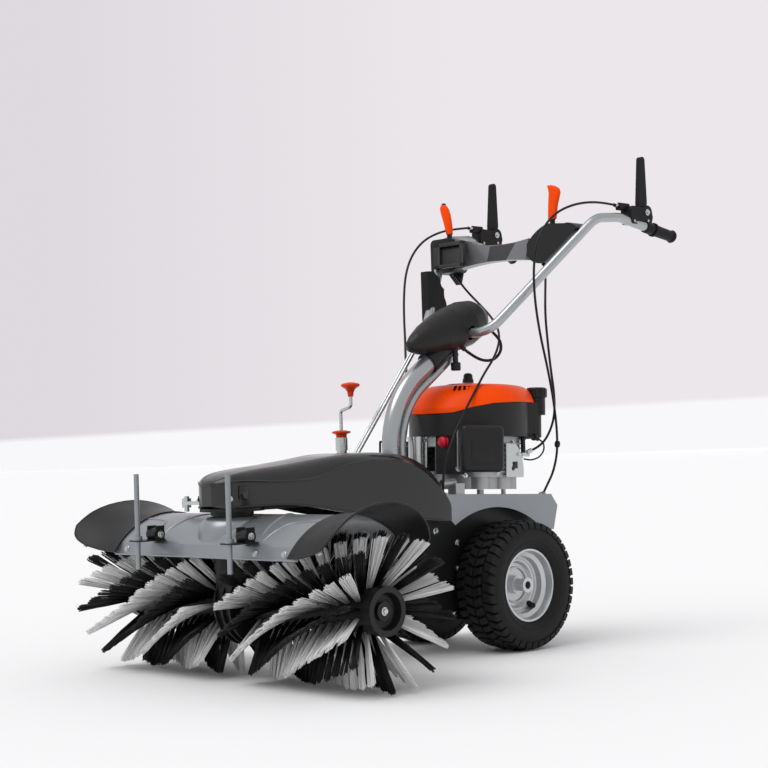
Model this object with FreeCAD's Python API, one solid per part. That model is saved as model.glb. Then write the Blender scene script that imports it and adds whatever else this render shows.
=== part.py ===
import FreeCAD, Part
import math
import os

# Walk-behind power sweeper, millimetres. X is across the machine with the machine's left on +X,
# the brush is at the front on -Y, and Z is up from the floor.
# Pieces are modelled from the axle, with the axle at Y = 0, and save() moves them so that the
# origin lies on the floor under the middle of the whole machine.

V = FreeCAD.Vector
SIDES = {"left": 1, "right": -1}

# Clearances
RUN_FIT = 0.05
SEAT = 0.3

# Wheels: 13 x 5.00-6 knobby tyres
TYRE_R = 165.0
TYRE_WIDTH = 127.0
LUG_H = 9.0
LUG_COUNT = 20
LUG_SHARE = 0.68
SHOULDER_LUG = 32.0
SHOULDER_DROP = 6.0
RIM_R = 90.0
RIM_WIDTH = 96.0
RIM_FACE_X = 213.0
RIM_WALL = 4.0
RIM_WELL = 16.0
HUB_R = 16.0
AXLE_R = 10.0
WHEEL_X = RIM_FACE_X - RIM_WIDTH / 2
HUB_IN = 40.0
HUB_END = 6.0

# Brush
BRUSH_AHEAD = 725.0
BRUSH_R = 175.0
BRUSH_LIFT = 1.0
BRUSH_Z = BRUSH_R + BRUSH_LIFT
CORE_R = 50.0
HUB_RING_R = 54.0
HUB_RING_W = 26.0
HUB_RING_WALL = 13.0
HUB_RECESS = 18.0
HALF_W = 446.0
HALF_GAP = 46.0
SPLAY = 52.0
ROW_PAIRS = 8
ROW_STEPS = 8
ROW_TWIST = 78.0
ROW_ROOT_T = 5.0
ROW_TIP_T = 17.0
ROW_SEAT = 0.6
SHAFT_R = 15.0

# Deck over the brush
DECK_GAP = 28.0
DECK_T = 2.5
DECK_R = BRUSH_R + DECK_GAP
DECK_HALF = 334.0
DECK_FRONT_DEG = 46.0
DECK_REAR_DEG = 58.0
FLANGE_H = 27.0
FLANGE_LEAN = 9.0
PAN_R = 72.0
PAN_DEPTH = 8.0
WING_T = 3.5
WING_RISE = 41.0
WING_BACK_SHARE = 0.76
WING_FADE_DEG = 24.0
WING_STATIONS = [(318, -54, 56), (345, -54, 55), (372, -54, 53), (400, -53.5, 51), (422, -53, 48),
                 (440, -52, 38), (455, -50.5, 16), (467, -48, -2), (477, -43, -30)]
GEARBOX_R = 92.0
GEARBOX_HALF = 30.0
GEARBOX_FIN = 6.0

# Upright rods at the front of the deck, and their brackets
ROD_X = 170.0
ROD_LEAD = 206.0
ROD_R = 6.0
ROD_TOP = 483.0
ROD_LOW = 262.0
ROD_PLATE_Z = 326.0
ROD_PLATE_W = 52.0
ROD_PLATE_T = 3.0
ROD_NUT = 9.0
ROD_NUT_R = 10.5
CLIP_R = 15.0
CLIP_HOLE = 8.5
CLIP_LEN = 34.0

# Swivel of the deck
SWIVEL_LEAD = 60.0
SWIVEL_AHEAD = BRUSH_AHEAD + SWIVEL_LEAD
BOSS_R = 45.0
PIVOT_R = 14.0
PIVOT_L = 46.0
TURRET_TOP = 366.0
SWIVEL_SEAT = 0.5
SLOT_ROOM = 6.0
ARM_X = -205.0
ARM_LAG = 25.0
ARM_W = 26.0
ARM_T = 8.0
ARM_Z = 404.0
ARM_BOLT_R = 6.0
ARM_BOLT_LOW = 387.0
ARM_BOLT_TOP = 424.0

# Chassis. The engine plate and the engine lean back by CHASSIS_PITCH with the deck lowered.
CHASSIS_PITCH = 2.2
SIDE_PLATE_X = 86.0
SIDE_PLATE_T = 5.0
PLATE_HALF = 125.0
PLATE_Z = 396.0
PLATE_T = 4.0
PLATE_Y0 = -210.0
PLATE_Y1 = 212.0
CASE_R = 62.0
CASE_HALF = 60.0

# Belt cover and the beam in it
COVER_Z = 399.0
COVER_T = 3.5
NOSE_R = 76.0
BEAM_HALF = 40.0
BEAM_T = 8.0
BEAM_WALL = 18.0

# Engine, placed on the plate before the plate leans
ENGINE_Y = 12.0
SHROUD_R = 157.0
SHROUD_Z0 = 546.0
SHROUD_Z1 = 606.0
RECOIL_TOP = 684.0
RECOIL_CAP_R = 13.5
RECOIL_CAP_H = 32.0
SLOT_COUNT = 5
SLOT_STEP = 6.0
SLOT_START = 27.0
SLOT_W = 6.5
SLOT_H = 15.0
SLOT_Z = 655.0
SLOT_IN = 110.0
CRANKCASE_Z0 = 409.0
TANK_X0 = -118.0
TANK_X1 = 118.0
TANK_Y1 = 186.0
FUEL_CAP_X = 100.0
FUEL_CAP_Y = 172.0
FUEL_CAP_R = 28.0
NECK_R = 23.0
FILTER_X = 163.0
FILTER_Y = -115.0
FILTER_W = 115.0
FILTER_H = 118.0
FILTER_D = 44.0
FILTER_Z0 = 452.0
FILTER_TURN = -25.0
STARTER_X = -50.5
STARTER_Y = -128.0
STARTER_R = 25.0

# Column and handlebar
COLUMN_R = 24.0
COLUMN_Y = -268.0
COLUMN_BEND_Z = 640.0
COLUMN_BEND_R = 230.0
STAY_R = 12.0
STAY_BACK = 37.0
FOOT_H = 92.0
FOOT_WALL = 5.0
PIVOT_Y = -15.0
PIVOT_Z = 818.0
SHROUD_LEAN = 18.0
SHROUD_CENTRE = (-50.0, 827.0)
SHROUD_CENTRE_HALF = 40.0
SHROUD_NECK = 138.0
SHROUD_WALL = 3.5
KNOB = (27.0, -50.0, 720.0)
BAR_R = 12.7
BARREL_R = 26.0
BARREL_HALF = 35.0
GRIP_R = 16.0
GRIP_L = 80.0
LEVER_L = 132.0
LEVER_T = 14.0
LEVER_X = 273.0
LEVER_Y = 436.0
LEVER_Z = 1131.0
LEVER_ROOT_W = 34.0
LEVER_TIP_W = 19.0
BARREL_END_Y = 331.0
PANEL_Y0 = 196.0
PANEL_Y1 = 232.0
PANEL_T = 3.0

# Support castor
CASTOR_X = -185.0
CASTOR_Y = -268.0
CASTOR_R = 60.0
CASTOR_W = 34.0
CASTOR_TRAIL = 32.0
CASTOR_AXLE_R = 6.0
FORK_T = 4.0
FORK_ROOM = 3.0
CROWN_Z = 2 * CASTOR_R + 18
CROWN_T = 6.0
JACKET_R = 13.5
JACKET_CAP_R = 16.0
JACKET_CAP_H = 33.0
JACKET_Z0 = 272.0
JACKET_TOP = 555.0
EAR_Z0 = 286.0
EAR_Z1 = 328.0
LEG_R = 11.0
LEG_TOP = 478.0
STEM_R = 6.0
STEM_H = 30.0
CRANK_R = 4.5
CRANK_THROW = 40.0

# Control rods, from their foot by the right side plate to a pin on the shroud
ROD_FOOT = (-165.0, -377.0, 335.0)
ROD_PIN = (-93.0, 793.0)
ROD_PIN_X = -66.0
ROD_PITCH = 11.0
CONTROL_ROD_R = 4.5

# Cables
CABLE_R = 3.2
LOOP_R = 4.0
GLAND_R = 6.0
GLAND_H = 14.0

# The whole machine reaches from the deck rods at the front to the grip ends at the back
ROD_Y = -(BRUSH_AHEAD + ROD_LEAD)
FRONT_REACH = -ROD_Y + 10
GRIP_END_Y = 556.0
GRIP_OVERHANG = 7.6
AXLE_Y = (FRONT_REACH - GRIP_END_Y) / 2

# Centre line of the left handle tube, from the middle of the machine to the grip's end
HANDLE_ROUTE = [(0.3, PIVOT_Y, PIVOT_Z), (118, PIVOT_Y, PIVOT_Z), (276, 240, 1112), (276, 340, 1120),
                (292, GRIP_END_Y - GRIP_OVERHANG, 1079.5)]
HANDLE_BENDS = [60, 60, 90]

# Routes of the cables, chosen by hand
CLUTCH_CABLE = [(268, BARREL_END_Y - 0.6, 1154), (267, 277, 1157), (262, 216, 1153), (255, 163, 1141),
                (248, 114, 1120), (240, 76, 1086), (231, 52, 1037), (225, 43, 975), (218, 52, 893),
                (205, 83, 806), (190, 126, 720), (175, 163, 636), (162, 188, 560), (148, 203, 498),
                (131, 203, 445), (119, 190, 412), (114, 182, 394)]
SPEED_CABLE = [(122, 205, 1002.8), (140, 190, 975), (162, 160, 920), (178, 138, 860), (183, 138, 790),
               (178, 152, 721), (168, 176, 650), (155, 188, 592), (141, 178, 545), (131, 152, 515),
               (124, 126, 506)]
DRIVE_CABLE = [(-268, BARREL_END_Y - 0.6, 1154), (-267, 266, 1146), (-262, 196, 1130), (-255, 128, 1102),
               (-246, 72, 1056), (-235, 36, 1002), (-220, 12, 941), (-198, -12, 876), (-166, -42, 817),
               (-132, -76, 764), (-98, -108, 707), (-74, -128, 645), (-58, -154, 585), (-48, -176, 530),
               (-43, -186, 480), (-42, -192, 448)]
SHIFT_CABLE = [(-225, 226, 1004.2), (-196, 214, 982), (-158, 205, 950), (-108, 198, 912), (-55, 184, 874),
               (-4, 156, 835), (40, 108, 795), (72, 50, 752), (92, -12, 710), (108, -62, 668),
               (122, -112, 624), (134, -158, 580), (139, -194, 530), (134, -214, 478), (124, -212, 436),
               (112, -200, 406.4)]
PIVOT_LOOP = [(30, -18, 776), (33, 8, 760), (40, 42, 746), (49, 74, 748), (58, 92, 768), (61, 92, 794),
              (54, 78, 816), (44, 62, 832)]


def box(x0, x1, y0, y1, z0, z1):
    return Part.makeBox(x1 - x0, y1 - y0, z1 - z0, V(x0, y0, z0))


def rod(p, q, r):
    d = V(*q) - V(*p)
    return Part.makeCylinder(r, d.Length, V(*p), d)


def disc_x(x0, x1, y, z, r):
    return Part.makeCylinder(r, x1 - x0, V(x0, y, z), V(1, 0, 0))


def disc_z(x, y, z0, z1, r):
    return Part.makeCylinder(r, z1 - z0, V(x, y, z0), V(0, 0, 1))


def placer(axis, level):
    """A function from flat (u, v) to a point: X takes (y, z), Y (x, z), Z (x, y)."""
    return {"X": lambda u, v: V(level, u, v), "Y": lambda u, v: V(u, level, v),
            "Z": lambda u, v: V(u, v, level)}[axis]


def push_along(axis, length):
    return {"X": V(1, 0, 0), "Y": V(0, 1, 0), "Z": V(0, 0, 1)}[axis] * length


def prism(points, axis, lo, hi):
    """A flat outline of straight edges pushed along an axis."""
    place = placer(axis, lo)
    wire = Part.makePolygon([place(u, v) for u, v in points + points[:1]])
    return Part.Face(wire).extrude(push_along(axis, hi - lo))


def curved_prism(edges, axis, lo, hi):
    """A flat outline pushed along an axis, each edge as two points, an arc of three, or a spline of more."""
    place = placer(axis, lo)
    parts = []
    for points in edges:
        pts = [place(u, v) for u, v in points]
        if len(pts) == 2:
            parts.append(Part.LineSegment(pts[0], pts[1]).toShape())
        elif len(pts) == 3:
            parts.append(Part.Arc(pts[0], pts[1], pts[2]).toShape())
        else:
            curve = Part.BSplineCurve()
            curve.interpolate(pts)
            parts.append(curve.toShape())
    return Part.Face(Part.Wire(parts)).extrude(push_along(axis, hi - lo))


def turned(points, centre, axis):
    """A ring turned from (along, radius) points about an axis through centre."""
    side = V(0, 0, 1) if abs(axis.z) < 0.5 else V(1, 0, 0)
    side = (side - axis * side.dot(axis)).normalize()
    pts = [centre + axis * a + side * r for a, r in points]
    face = Part.Face(Part.makePolygon(pts + pts[:1]))
    return face.revolve(centre, axis, 360)


def bent_path(points, radii):
    """Straight runs joined by tangent arcs."""
    pts = [V(*p) for p in points]
    edges = []
    start = pts[0]
    for before, corner, after, r in zip(pts, pts[1:], pts[2:], radii):
        a = (before - corner).normalize()
        b = (after - corner).normalize()
        half = a.getAngle(b) / 2
        cut = r / math.tan(half)
        mid = (a + b).normalize()
        middle = corner + mid * (r / math.sin(half) - r)
        edges.append(Part.LineSegment(start, corner + a * cut).toShape())
        edges.append(Part.Arc(corner + a * cut, middle, corner + b * cut).toShape())
        start = corner + b * cut
    edges.append(Part.LineSegment(start, pts[-1]).toShape())
    return Part.Wire(edges)


def pipe(points, radii, r):
    """A round bar along straight runs and tangent arcs."""
    pieces = []
    for edge in bent_path(points, radii).Edges:
        start = edge.valueAt(edge.FirstParameter)
        end = edge.valueAt(edge.LastParameter)
        if isinstance(edge.Curve, Part.Line):
            pieces.append(Part.makeCylinder(r, (end - start).Length, start, end - start))
            continue
        arc = edge.Curve
        ring = Part.Face(Part.Wire(Part.Circle(start, edge.tangentAt(edge.FirstParameter), r).toShape()))
        sweep = math.degrees(edge.LastParameter - edge.FirstParameter)
        pieces.append(ring.revolve(arc.Center, arc.Axis, sweep))
    return fuse(*pieces)


def cable(name, points, r):
    """A cable whose arcs are as large as their two runs allow."""
    pts = [V(*p) for p in points]
    radii = []
    for before, corner, after in zip(pts, pts[1:], pts[2:]):
        turn = math.pi - (before - corner).getAngle(after - corner)
        run = min((before - corner).Length, (after - corner).Length)
        radii.append(0.45 * run / math.tan(turn / 2))
    solid = pipe(points, radii, r)
    length = bent_path(points, radii).Length
    print(name, "length", round(length), "radii", [round(v) for v in radii],
          "volume over section times length", round(solid.Volume / (math.pi * r * r * length), 4))
    return solid


def gland(points):
    """A short sleeve that carries on a cable's line beyond its first point."""
    start = V(*points[0])
    run = (start - V(*points[1])).normalize()
    return Part.makeCylinder(GLAND_R, GLAND_H, start + run * SEAT, run)


def mirrored(shape, side):
    return shape if side > 0 else shape.mirror(V(0, 0, 0), V(1, 0, 0))


def pair(shape):
    return [shape, mirrored(shape, -1)]


def fuse(*shapes):
    return shapes[0].multiFuse(list(shapes[1:])).removeSplitter()


def rounded(shape, r, along="Z"):
    """The shape with the straight edges that run along an axis rounded."""
    axis = push_along(along, 1)
    edges = [e for e in shape.Edges if isinstance(e.Curve, Part.Line)
             and abs(e.Curve.Direction.dot(axis)) > 0.999]
    return shape.makeFillet(r, edges)


def pitched(shape):
    """What stands on the engine plate, leant back with it."""
    shape = shape.copy()
    shape.rotate(V(0, 0, PLATE_Z), V(1, 0, 0), -CHASSIS_PITCH)
    return shape


def plate_under(y):
    """Height of the leaning engine plate's underside."""
    return PLATE_Z - PLATE_T - y * math.tan(math.radians(CHASSIS_PITCH))


def save(name, *shapes):
    shape = shapes[0] if len(shapes) == 1 else Part.makeCompound(list(shapes))
    shape = shape.copy()
    shape.translate(V(0, AXLE_Y, 0))
    shape.exportStep("parts/" + name + ".step")


# Wheels

def lug_ring(x0, x1, root, tip, phase):
    """A ring of tread lugs, as a toothed outline pushed along the axle."""
    step = 360.0 / LUG_COUNT
    flank = 0.08
    points = []
    for i in range(LUG_COUNT):
        for r, part in ((root, 0.0), (tip, flank), (tip, LUG_SHARE - flank), (root, LUG_SHARE)):
            a = math.radians(step * (i + phase + part))
            points.append((r * math.sin(a), TYRE_R + r * math.cos(a)))
    return prism(points, "X", WHEEL_X + x0, WHEEL_X + x1)


def faceted(points, sides):
    """A round body of flat facets about the wheel's axle, through (along, radius) points."""
    rings = []
    for along, r in points:
        turns = [2 * math.pi * k / sides for k in range(sides)]
        rings.append([V(WHEEL_X + along, r * math.sin(a), TYRE_R + r * math.cos(a)) for a in turns])
    faces = [Part.Face(Part.makePolygon(ring + ring[:1])) for ring in (rings[0], rings[-1])]
    for low, high in zip(rings, rings[1:]):
        for k in range(sides):
            m = (k + 1) % sides
            faces.append(Part.Face(Part.makePolygon([low[k], low[m], high[m], high[k], low[k]])))
    return Part.makeSolid(Part.makeShell(faces))


def tyre():
    half = TYRE_WIDTH / 2
    root = TYRE_R - LUG_H
    shoulder_root = root - SHOULDER_DROP
    seat = RIM_R + SEAT
    tall = root - seat
    bead = RIM_WIDTH / 2 - 8
    side = [(bead, seat + 1), (half - 4, seat + 0.25 * tall), (half, seat + 0.55 * tall), (half - 5, shoulder_root - 1)]
    body = faceted(side + [(-x, r) for x, r in reversed(side)], 2 * LUG_COUNT)
    body = body.cut(disc_x(WHEEL_X - half, WHEEL_X + half, 0, TYRE_R, seat))
    edge = half - 3
    inner_edge = edge - SHOULDER_LUG
    shoulder_tip = TYRE_R - 2
    rings = [lug_ring(-edge, -inner_edge, shoulder_root, shoulder_tip, 0.0),
             lug_ring(-inner_edge, 0, root, TYRE_R, 0.35),
             lug_ring(0, inner_edge, root, TYRE_R, 0.65),
             lug_ring(inner_edge, edge, shoulder_root, shoulder_tip, 0.0)]
    hollow = disc_x(0, RIM_FACE_X + TYRE_WIDTH, 0, TYRE_R, seat + 0.7 * tall)
    return fuse(body, *[ring.cut(hollow) for ring in rings])


def rim():
    w = RIM_WIDTH / 2
    well = RIM_R - RIM_WELL
    centre = V(WHEEL_X, 0, TYRE_R)
    face = [(w, RIM_R + 2), (w, RIM_R - 3), (w - 5, RIM_R - 5), (w - 18, RIM_R - 7), (w - 24, well - 1),
            (w - 40, well - 3), (w - 44, well - 14), (w - 52, well - 20), (w - 54, HUB_R - 1)]
    back = [(w - 54 - RIM_WALL, HUB_R - 1), (w - 52 - RIM_WALL, well - 16), (w - 46 - RIM_WALL, well - 10),
            (-w + 18, well - 3), (-w + 12, RIM_R - 8), (-w, RIM_R - 4), (-w, RIM_R + 2), (-w + 5, RIM_R + 2),
            (-w + 8, RIM_R), (-w + 20, well + 2), (w - 28, well + 3), (w - 20, RIM_R - 3), (w - 8, RIM_R),
            (w - 5, RIM_R + 2)]
    shell = turned(face + back, centre, V(1, 0, 0))
    hub = disc_x(WHEEL_X - HUB_IN, RIM_FACE_X - HUB_END, 0, TYRE_R, HUB_R)
    collar = disc_x(RIM_FACE_X - HUB_END - 8, RIM_FACE_X - HUB_END, 0, TYRE_R, HUB_R + 3)
    root = disc_x(WHEEL_X - 12, WHEEL_X + 8, 0, TYRE_R, HUB_R + 7)
    bore = disc_x(WHEEL_X - 60, RIM_FACE_X + 10, 0, TYRE_R, AXLE_R + RUN_FIT)
    return fuse(shell, hub, collar, root).cut(bore)


def make_wheels():
    for name, side in SIDES.items():
        save("tyre_" + name, mirrored(tyre(), side))
        save("rim_" + name, mirrored(rim(), side))


# Brush

def polyhedron(rings):
    """A closed solid through rings of four corners each, with flat triangles."""
    faces = []

    def tri(a, b, c):
        faces.append(Part.Face(Part.makePolygon([a, b, c, a])))

    for low, high in zip(rings, rings[1:]):
        for k in range(4):
            m = (k + 1) % 4
            tri(low[k], low[m], high[m])
            tri(low[k], high[m], high[k])
    for ring in (rings[0], rings[-1]):
        tri(ring[0], ring[1], ring[2])
        tri(ring[0], ring[2], ring[3])
    return Part.makeSolid(Part.makeShell(faces))


def brush_row(start_deg, side):
    """One helical row of bristles, splayed outward at the brush's end. Both halves wind the same way."""
    rings = []
    root = CORE_R + ROW_SEAT
    reach = HALF_W - HUB_RING_W - HALF_GAP - 6
    for i in range(ROW_STEPS + 1):
        t = i / ROW_STEPS
        angle = math.radians(start_deg + side * ROW_TWIST * t)
        x_root = HALF_GAP + 4 + reach * t
        x_tip = x_root + HUB_RING_W * t + SPLAY * max(0.0, t - 0.6) / 0.4
        ring = []
        for r, x, turn in ((root, x_root, -ROW_ROOT_T / root / 2), (BRUSH_R, x_tip, -ROW_TIP_T / BRUSH_R / 2),
                           (BRUSH_R, x_tip, ROW_TIP_T / BRUSH_R / 2), (root, x_root, ROW_ROOT_T / root / 2)):
            a = angle + turn
            ring.append(V(side * x, -BRUSH_AHEAD + r * math.sin(a), BRUSH_Z + r * math.cos(a)))
        rings.append(ring)
    return polyhedron(rings)


def make_brush():
    y, z = -BRUSH_AHEAD, BRUSH_Z
    end = HALF_W - HUB_RECESS + 8
    shaft = disc_x(-end, end, y, z, SHAFT_R)
    nuts = [mirrored(disc_x(HALF_W - HUB_RECESS + SEAT, end, y, z, SHAFT_R + 6), s) for s in SIDES.values()]
    save("brush_shaft", fuse(shaft, *nuts))
    step = 360.0 / ROW_PAIRS
    core = disc_x(HALF_GAP, HALF_W - HUB_RING_W, y, z, CORE_R)
    ring = disc_x(HALF_W - HUB_RING_W, HALF_W, y, z, HUB_RING_R)
    recess = disc_x(HALF_W - HUB_RECESS, HALF_W + 1, y, z, HUB_RING_R - HUB_RING_WALL)
    bore = disc_x(0, HALF_W, y, z, SHAFT_R)
    save("brush_drums", *pair(fuse(core, ring).cut(fuse(recess, bore))))
    for tone, lead in (("white", 0.0), ("black", 0.5)):
        rows = [brush_row(step * (i + lead), side) for i in range(ROW_PAIRS) for side in SIDES.values()]
        save("brush_rows_" + tone, *rows)


# Deck

def deck_point(x, r, deg):
    """A point about the brush axis, with the angle from straight up towards the rear."""
    a = math.radians(deg)
    return V(x, -BRUSH_AHEAD + r * math.sin(a), BRUSH_Z + r * math.cos(a))


def arc_sheet(x0, x1, r, front, rear, t):
    """A curved sheet about the brush axis."""
    mid = (rear - front) / 2
    edges = [Part.Arc(deck_point(x0, r, -front), deck_point(x0, r, mid), deck_point(x0, r, rear)).toShape(),
             Part.LineSegment(deck_point(x0, r, rear), deck_point(x0, r + t, rear)).toShape(),
             Part.Arc(deck_point(x0, r + t, rear), deck_point(x0, r + t, mid),
                      deck_point(x0, r + t, -front)).toShape(),
             Part.LineSegment(deck_point(x0, r + t, -front), deck_point(x0, r, -front)).toShape()]
    return Part.Face(Part.Wire(edges)).extrude(V(x1 - x0, 0, 0))


def make_hood():
    r = DECK_R
    sheet = arc_sheet(-DECK_HALF, DECK_HALF, r, DECK_FRONT_DEG, DECK_REAR_DEG, DECK_T)
    top = deck_point(0, r + DECK_T, -DECK_FRONT_DEG)
    flange = prism([(top.y, top.z), (top.y - FLANGE_LEAN, top.z - FLANGE_H),
                    (top.y - FLANGE_LEAN + DECK_T, top.z - FLANGE_H), (top.y + DECK_T + 1, top.z - 3)],
                   "X", -DECK_HALF, DECK_HALF)
    hem = rod((-DECK_HALF, top.y - FLANGE_LEAN + 2, top.z - FLANGE_H),
              (DECK_HALF, top.y - FLANGE_LEAN + 2, top.z - FLANGE_H), 3)
    column = disc_z(0, -SWIVEL_AHEAD, BRUSH_Z, COVER_Z, PAN_R)
    pan = arc_sheet(-PAN_R, PAN_R, r - PAN_DEPTH, DECK_FRONT_DEG, DECK_REAR_DEG, DECK_T).common(column)
    wall = arc_sheet(-2 * PAN_R, 2 * PAN_R, r - PAN_DEPTH, DECK_FRONT_DEG, DECK_REAR_DEG, PAN_DEPTH + DECK_T)
    wall = wall.common(disc_z(0, -SWIVEL_AHEAD, BRUSH_Z, COVER_Z, PAN_R + DECK_T)).cut(column)
    hood = fuse(fuse(sheet, flange, hem).cut(column), pan, wall)
    slot = disc_z(0, -SWIVEL_AHEAD, BRUSH_Z, PLATE_Z, BOSS_R + SLOT_ROOM)
    save("deck_hood", hood.cut(slot))


def wing_lift(deg):
    """How much of its rise a wing has round the brush: most at the front, none at its rear corner."""
    front = WING_BACK_SHARE + (1 - WING_BACK_SHARE) * min(1.0, max(0.0, (-10 - deg) / 35))
    fade = min(1.0, max(0.0, (deg - WING_FADE_DEG) / (DECK_REAR_DEG - WING_FADE_DEG - 10)))
    return front * math.cos(math.radians(90 * fade))


def wing_section(station, out):
    """One section of a wing, out going from 0 where it lies on the hood to 1 at the raised rim."""
    x, front, rear = station
    count = 7
    lines = []
    for grow in (0.0, WING_T):
        pts = []
        for i in range(count):
            deg = front + (rear - front) * i / (count - 1)
            rise = WING_RISE * out ** 1.8 * wing_lift(deg)
            pts.append(deck_point(x, DECK_R + DECK_T + SEAT + grow + rise, deg))
        lines.append(pts)
    inner, outer = lines[0], lines[1][::-1]
    curves = []
    for pts in (inner, outer):
        curve = Part.BSplineCurve()
        curve.interpolate(pts)
        curves.append(curve.toShape())
    return Part.Wire([curves[0], Part.LineSegment(inner[-1], outer[0]).toShape(), curves[1],
                      Part.LineSegment(outer[-1], inner[0]).toShape()])


def make_deck():
    make_hood()
    start, end = WING_STATIONS[0][0], WING_STATIONS[-1][0]
    wing = Part.makeLoft([wing_section(s, (s[0] - start) / (end - start)) for s in WING_STATIONS], True, True)
    save("deck_wings", *pair(wing))
    y, z = -BRUSH_AHEAD, BRUSH_Z
    case = disc_x(-GEARBOX_HALF, GEARBOX_HALF, y, z, GEARBOX_R)
    fins = [disc_x(x, x + GEARBOX_FIN, y, z, GEARBOX_R + 8) for x in (-GEARBOX_HALF, -GEARBOX_FIN / 2,
                                                                      GEARBOX_HALF - GEARBOX_FIN)]
    roof = DECK_R - PAN_DEPTH - SEAT
    neck = box(-GEARBOX_HALF, GEARBOX_HALF, -SWIVEL_AHEAD - 30, y + 60, z, z + DECK_R)
    neck = neck.common(disc_x(-GEARBOX_HALF, GEARBOX_HALF, y, z, roof))
    neck = neck.cut(disc_z(0, -SWIVEL_AHEAD, TURRET_TOP, z + DECK_R, BOSS_R + SLOT_ROOM))
    turret = disc_z(0, -SWIVEL_AHEAD, z + GEARBOX_R - 10, TURRET_TOP, BOSS_R)
    bore = disc_x(-2 * GEARBOX_HALF, 2 * GEARBOX_HALF, y, z, SHAFT_R + RUN_FIT)
    pivot = disc_z(0, -SWIVEL_AHEAD, TURRET_TOP - PIVOT_L - 4, TURRET_TOP + 1, PIVOT_R + RUN_FIT)
    save("brush_gearbox", fuse(case, neck, turret, *fins).cut(bore).cut(pivot))
    make_rods()


def hood_front(z, r):
    """Where the front of a cylinder about the brush axis is at a height."""
    return -BRUSH_AHEAD - math.sqrt(r ** 2 - (z - BRUSH_Z) ** 2)


def make_rods():
    pin = rod((ROD_X, ROD_Y, ROD_LOW), (ROD_X, ROD_Y, ROD_TOP), ROD_R)
    nut_z = ROD_PLATE_Z + ROD_PLATE_T + SEAT
    nut = disc_z(ROD_X, ROD_Y, nut_z, nut_z + ROD_NUT, ROD_NUT_R)
    save("guide_rods", *pair(fuse(pin, nut)))
    half = ROD_PLATE_W / 2
    face = hood_front(ROD_PLATE_Z, DECK_R + DECK_T)
    plate = box(ROD_X - half, ROD_X + half, ROD_Y - 10, face - SEAT, ROD_PLATE_Z, ROD_PLATE_Z + ROD_PLATE_T)
    plate = rounded(plate, 8)
    hole = disc_z(ROD_X, ROD_Y, ROD_LOW, ROD_TOP, ROD_R + SEAT)
    clip_y = face - CLIP_R - 2
    clip_z = ROD_PLATE_Z + CLIP_R
    ring = disc_x(ROD_X - half + 6, ROD_X - half + 6 + CLIP_LEN, clip_y, clip_z, CLIP_R)
    ring = ring.cut(disc_x(ROD_X - 2 * half, ROD_X + 2 * half, clip_y, clip_z, CLIP_HOLE))
    ears = [box(x, x + 4, clip_y - 12, clip_y + 12, ROD_PLATE_Z + 1, clip_z + 20)
            for x in (ROD_X - half + 4, ROD_X - half + 2 + CLIP_LEN)]
    ears = [ear.cut(disc_x(0, 2 * ROD_X, clip_y, clip_z, CLIP_HOLE)) for ear in ears]
    save("rod_plates", *pair(fuse(plate.cut(hole), ring, *ears)))


# Chassis

def make_chassis():
    outline = [(-330, 150), (-330, COVER_Z - BEAM_T - 1), (PLATE_Y0 - 6, COVER_Z - BEAM_T - 1),
               (PLATE_Y0, plate_under(PLATE_Y0) - SEAT), (120, plate_under(120) - SEAT), (120, 130), (60, 92),
               (-108, 82), (-209, 96)]
    plate = prism(outline, "X", SIDE_PLATE_X - SIDE_PLATE_T, SIDE_PLATE_X)
    save("side_plates", *pair(plate.cut(disc_x(0, 2 * SIDE_PLATE_X, 0, TYRE_R, AXLE_R))))
    bore = disc_x(-2 * SIDE_PLATE_X, 2 * WHEEL_X, 0, TYRE_R, AXLE_R)
    collar = disc_x(SIDE_PLATE_X, WHEEL_X - HUB_IN - 1, 0, TYRE_R, HUB_R + 4).cut(bore)
    flange = disc_x(SIDE_PLATE_X, SIDE_PLATE_X + 6, 0, TYRE_R, 2 * HUB_R).cut(bore)
    save("axle_collars", *pair(fuse(collar, flange)))
    save("axle", disc_x(-RIM_FACE_X + 12, RIM_FACE_X - 12, 0, TYRE_R, AXLE_R))
    tower = prism([(-CASE_R, TYRE_R), (-CASE_R * 0.6, TYRE_R + 150), (CASE_R * 0.6, TYRE_R + 150),
                   (CASE_R, TYRE_R)], "X", -CASE_HALF, CASE_HALF)
    case = fuse(disc_x(-CASE_HALF, CASE_HALF, 0, TYRE_R, CASE_R), tower)
    flanges = disc_x(-CASE_HALF - 14, CASE_HALF + 14, 0, TYRE_R, CASE_R * 0.6)
    save("gearbox", fuse(case, flanges).cut(bore))
    make_engine_plate()
    make_beam()


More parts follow.
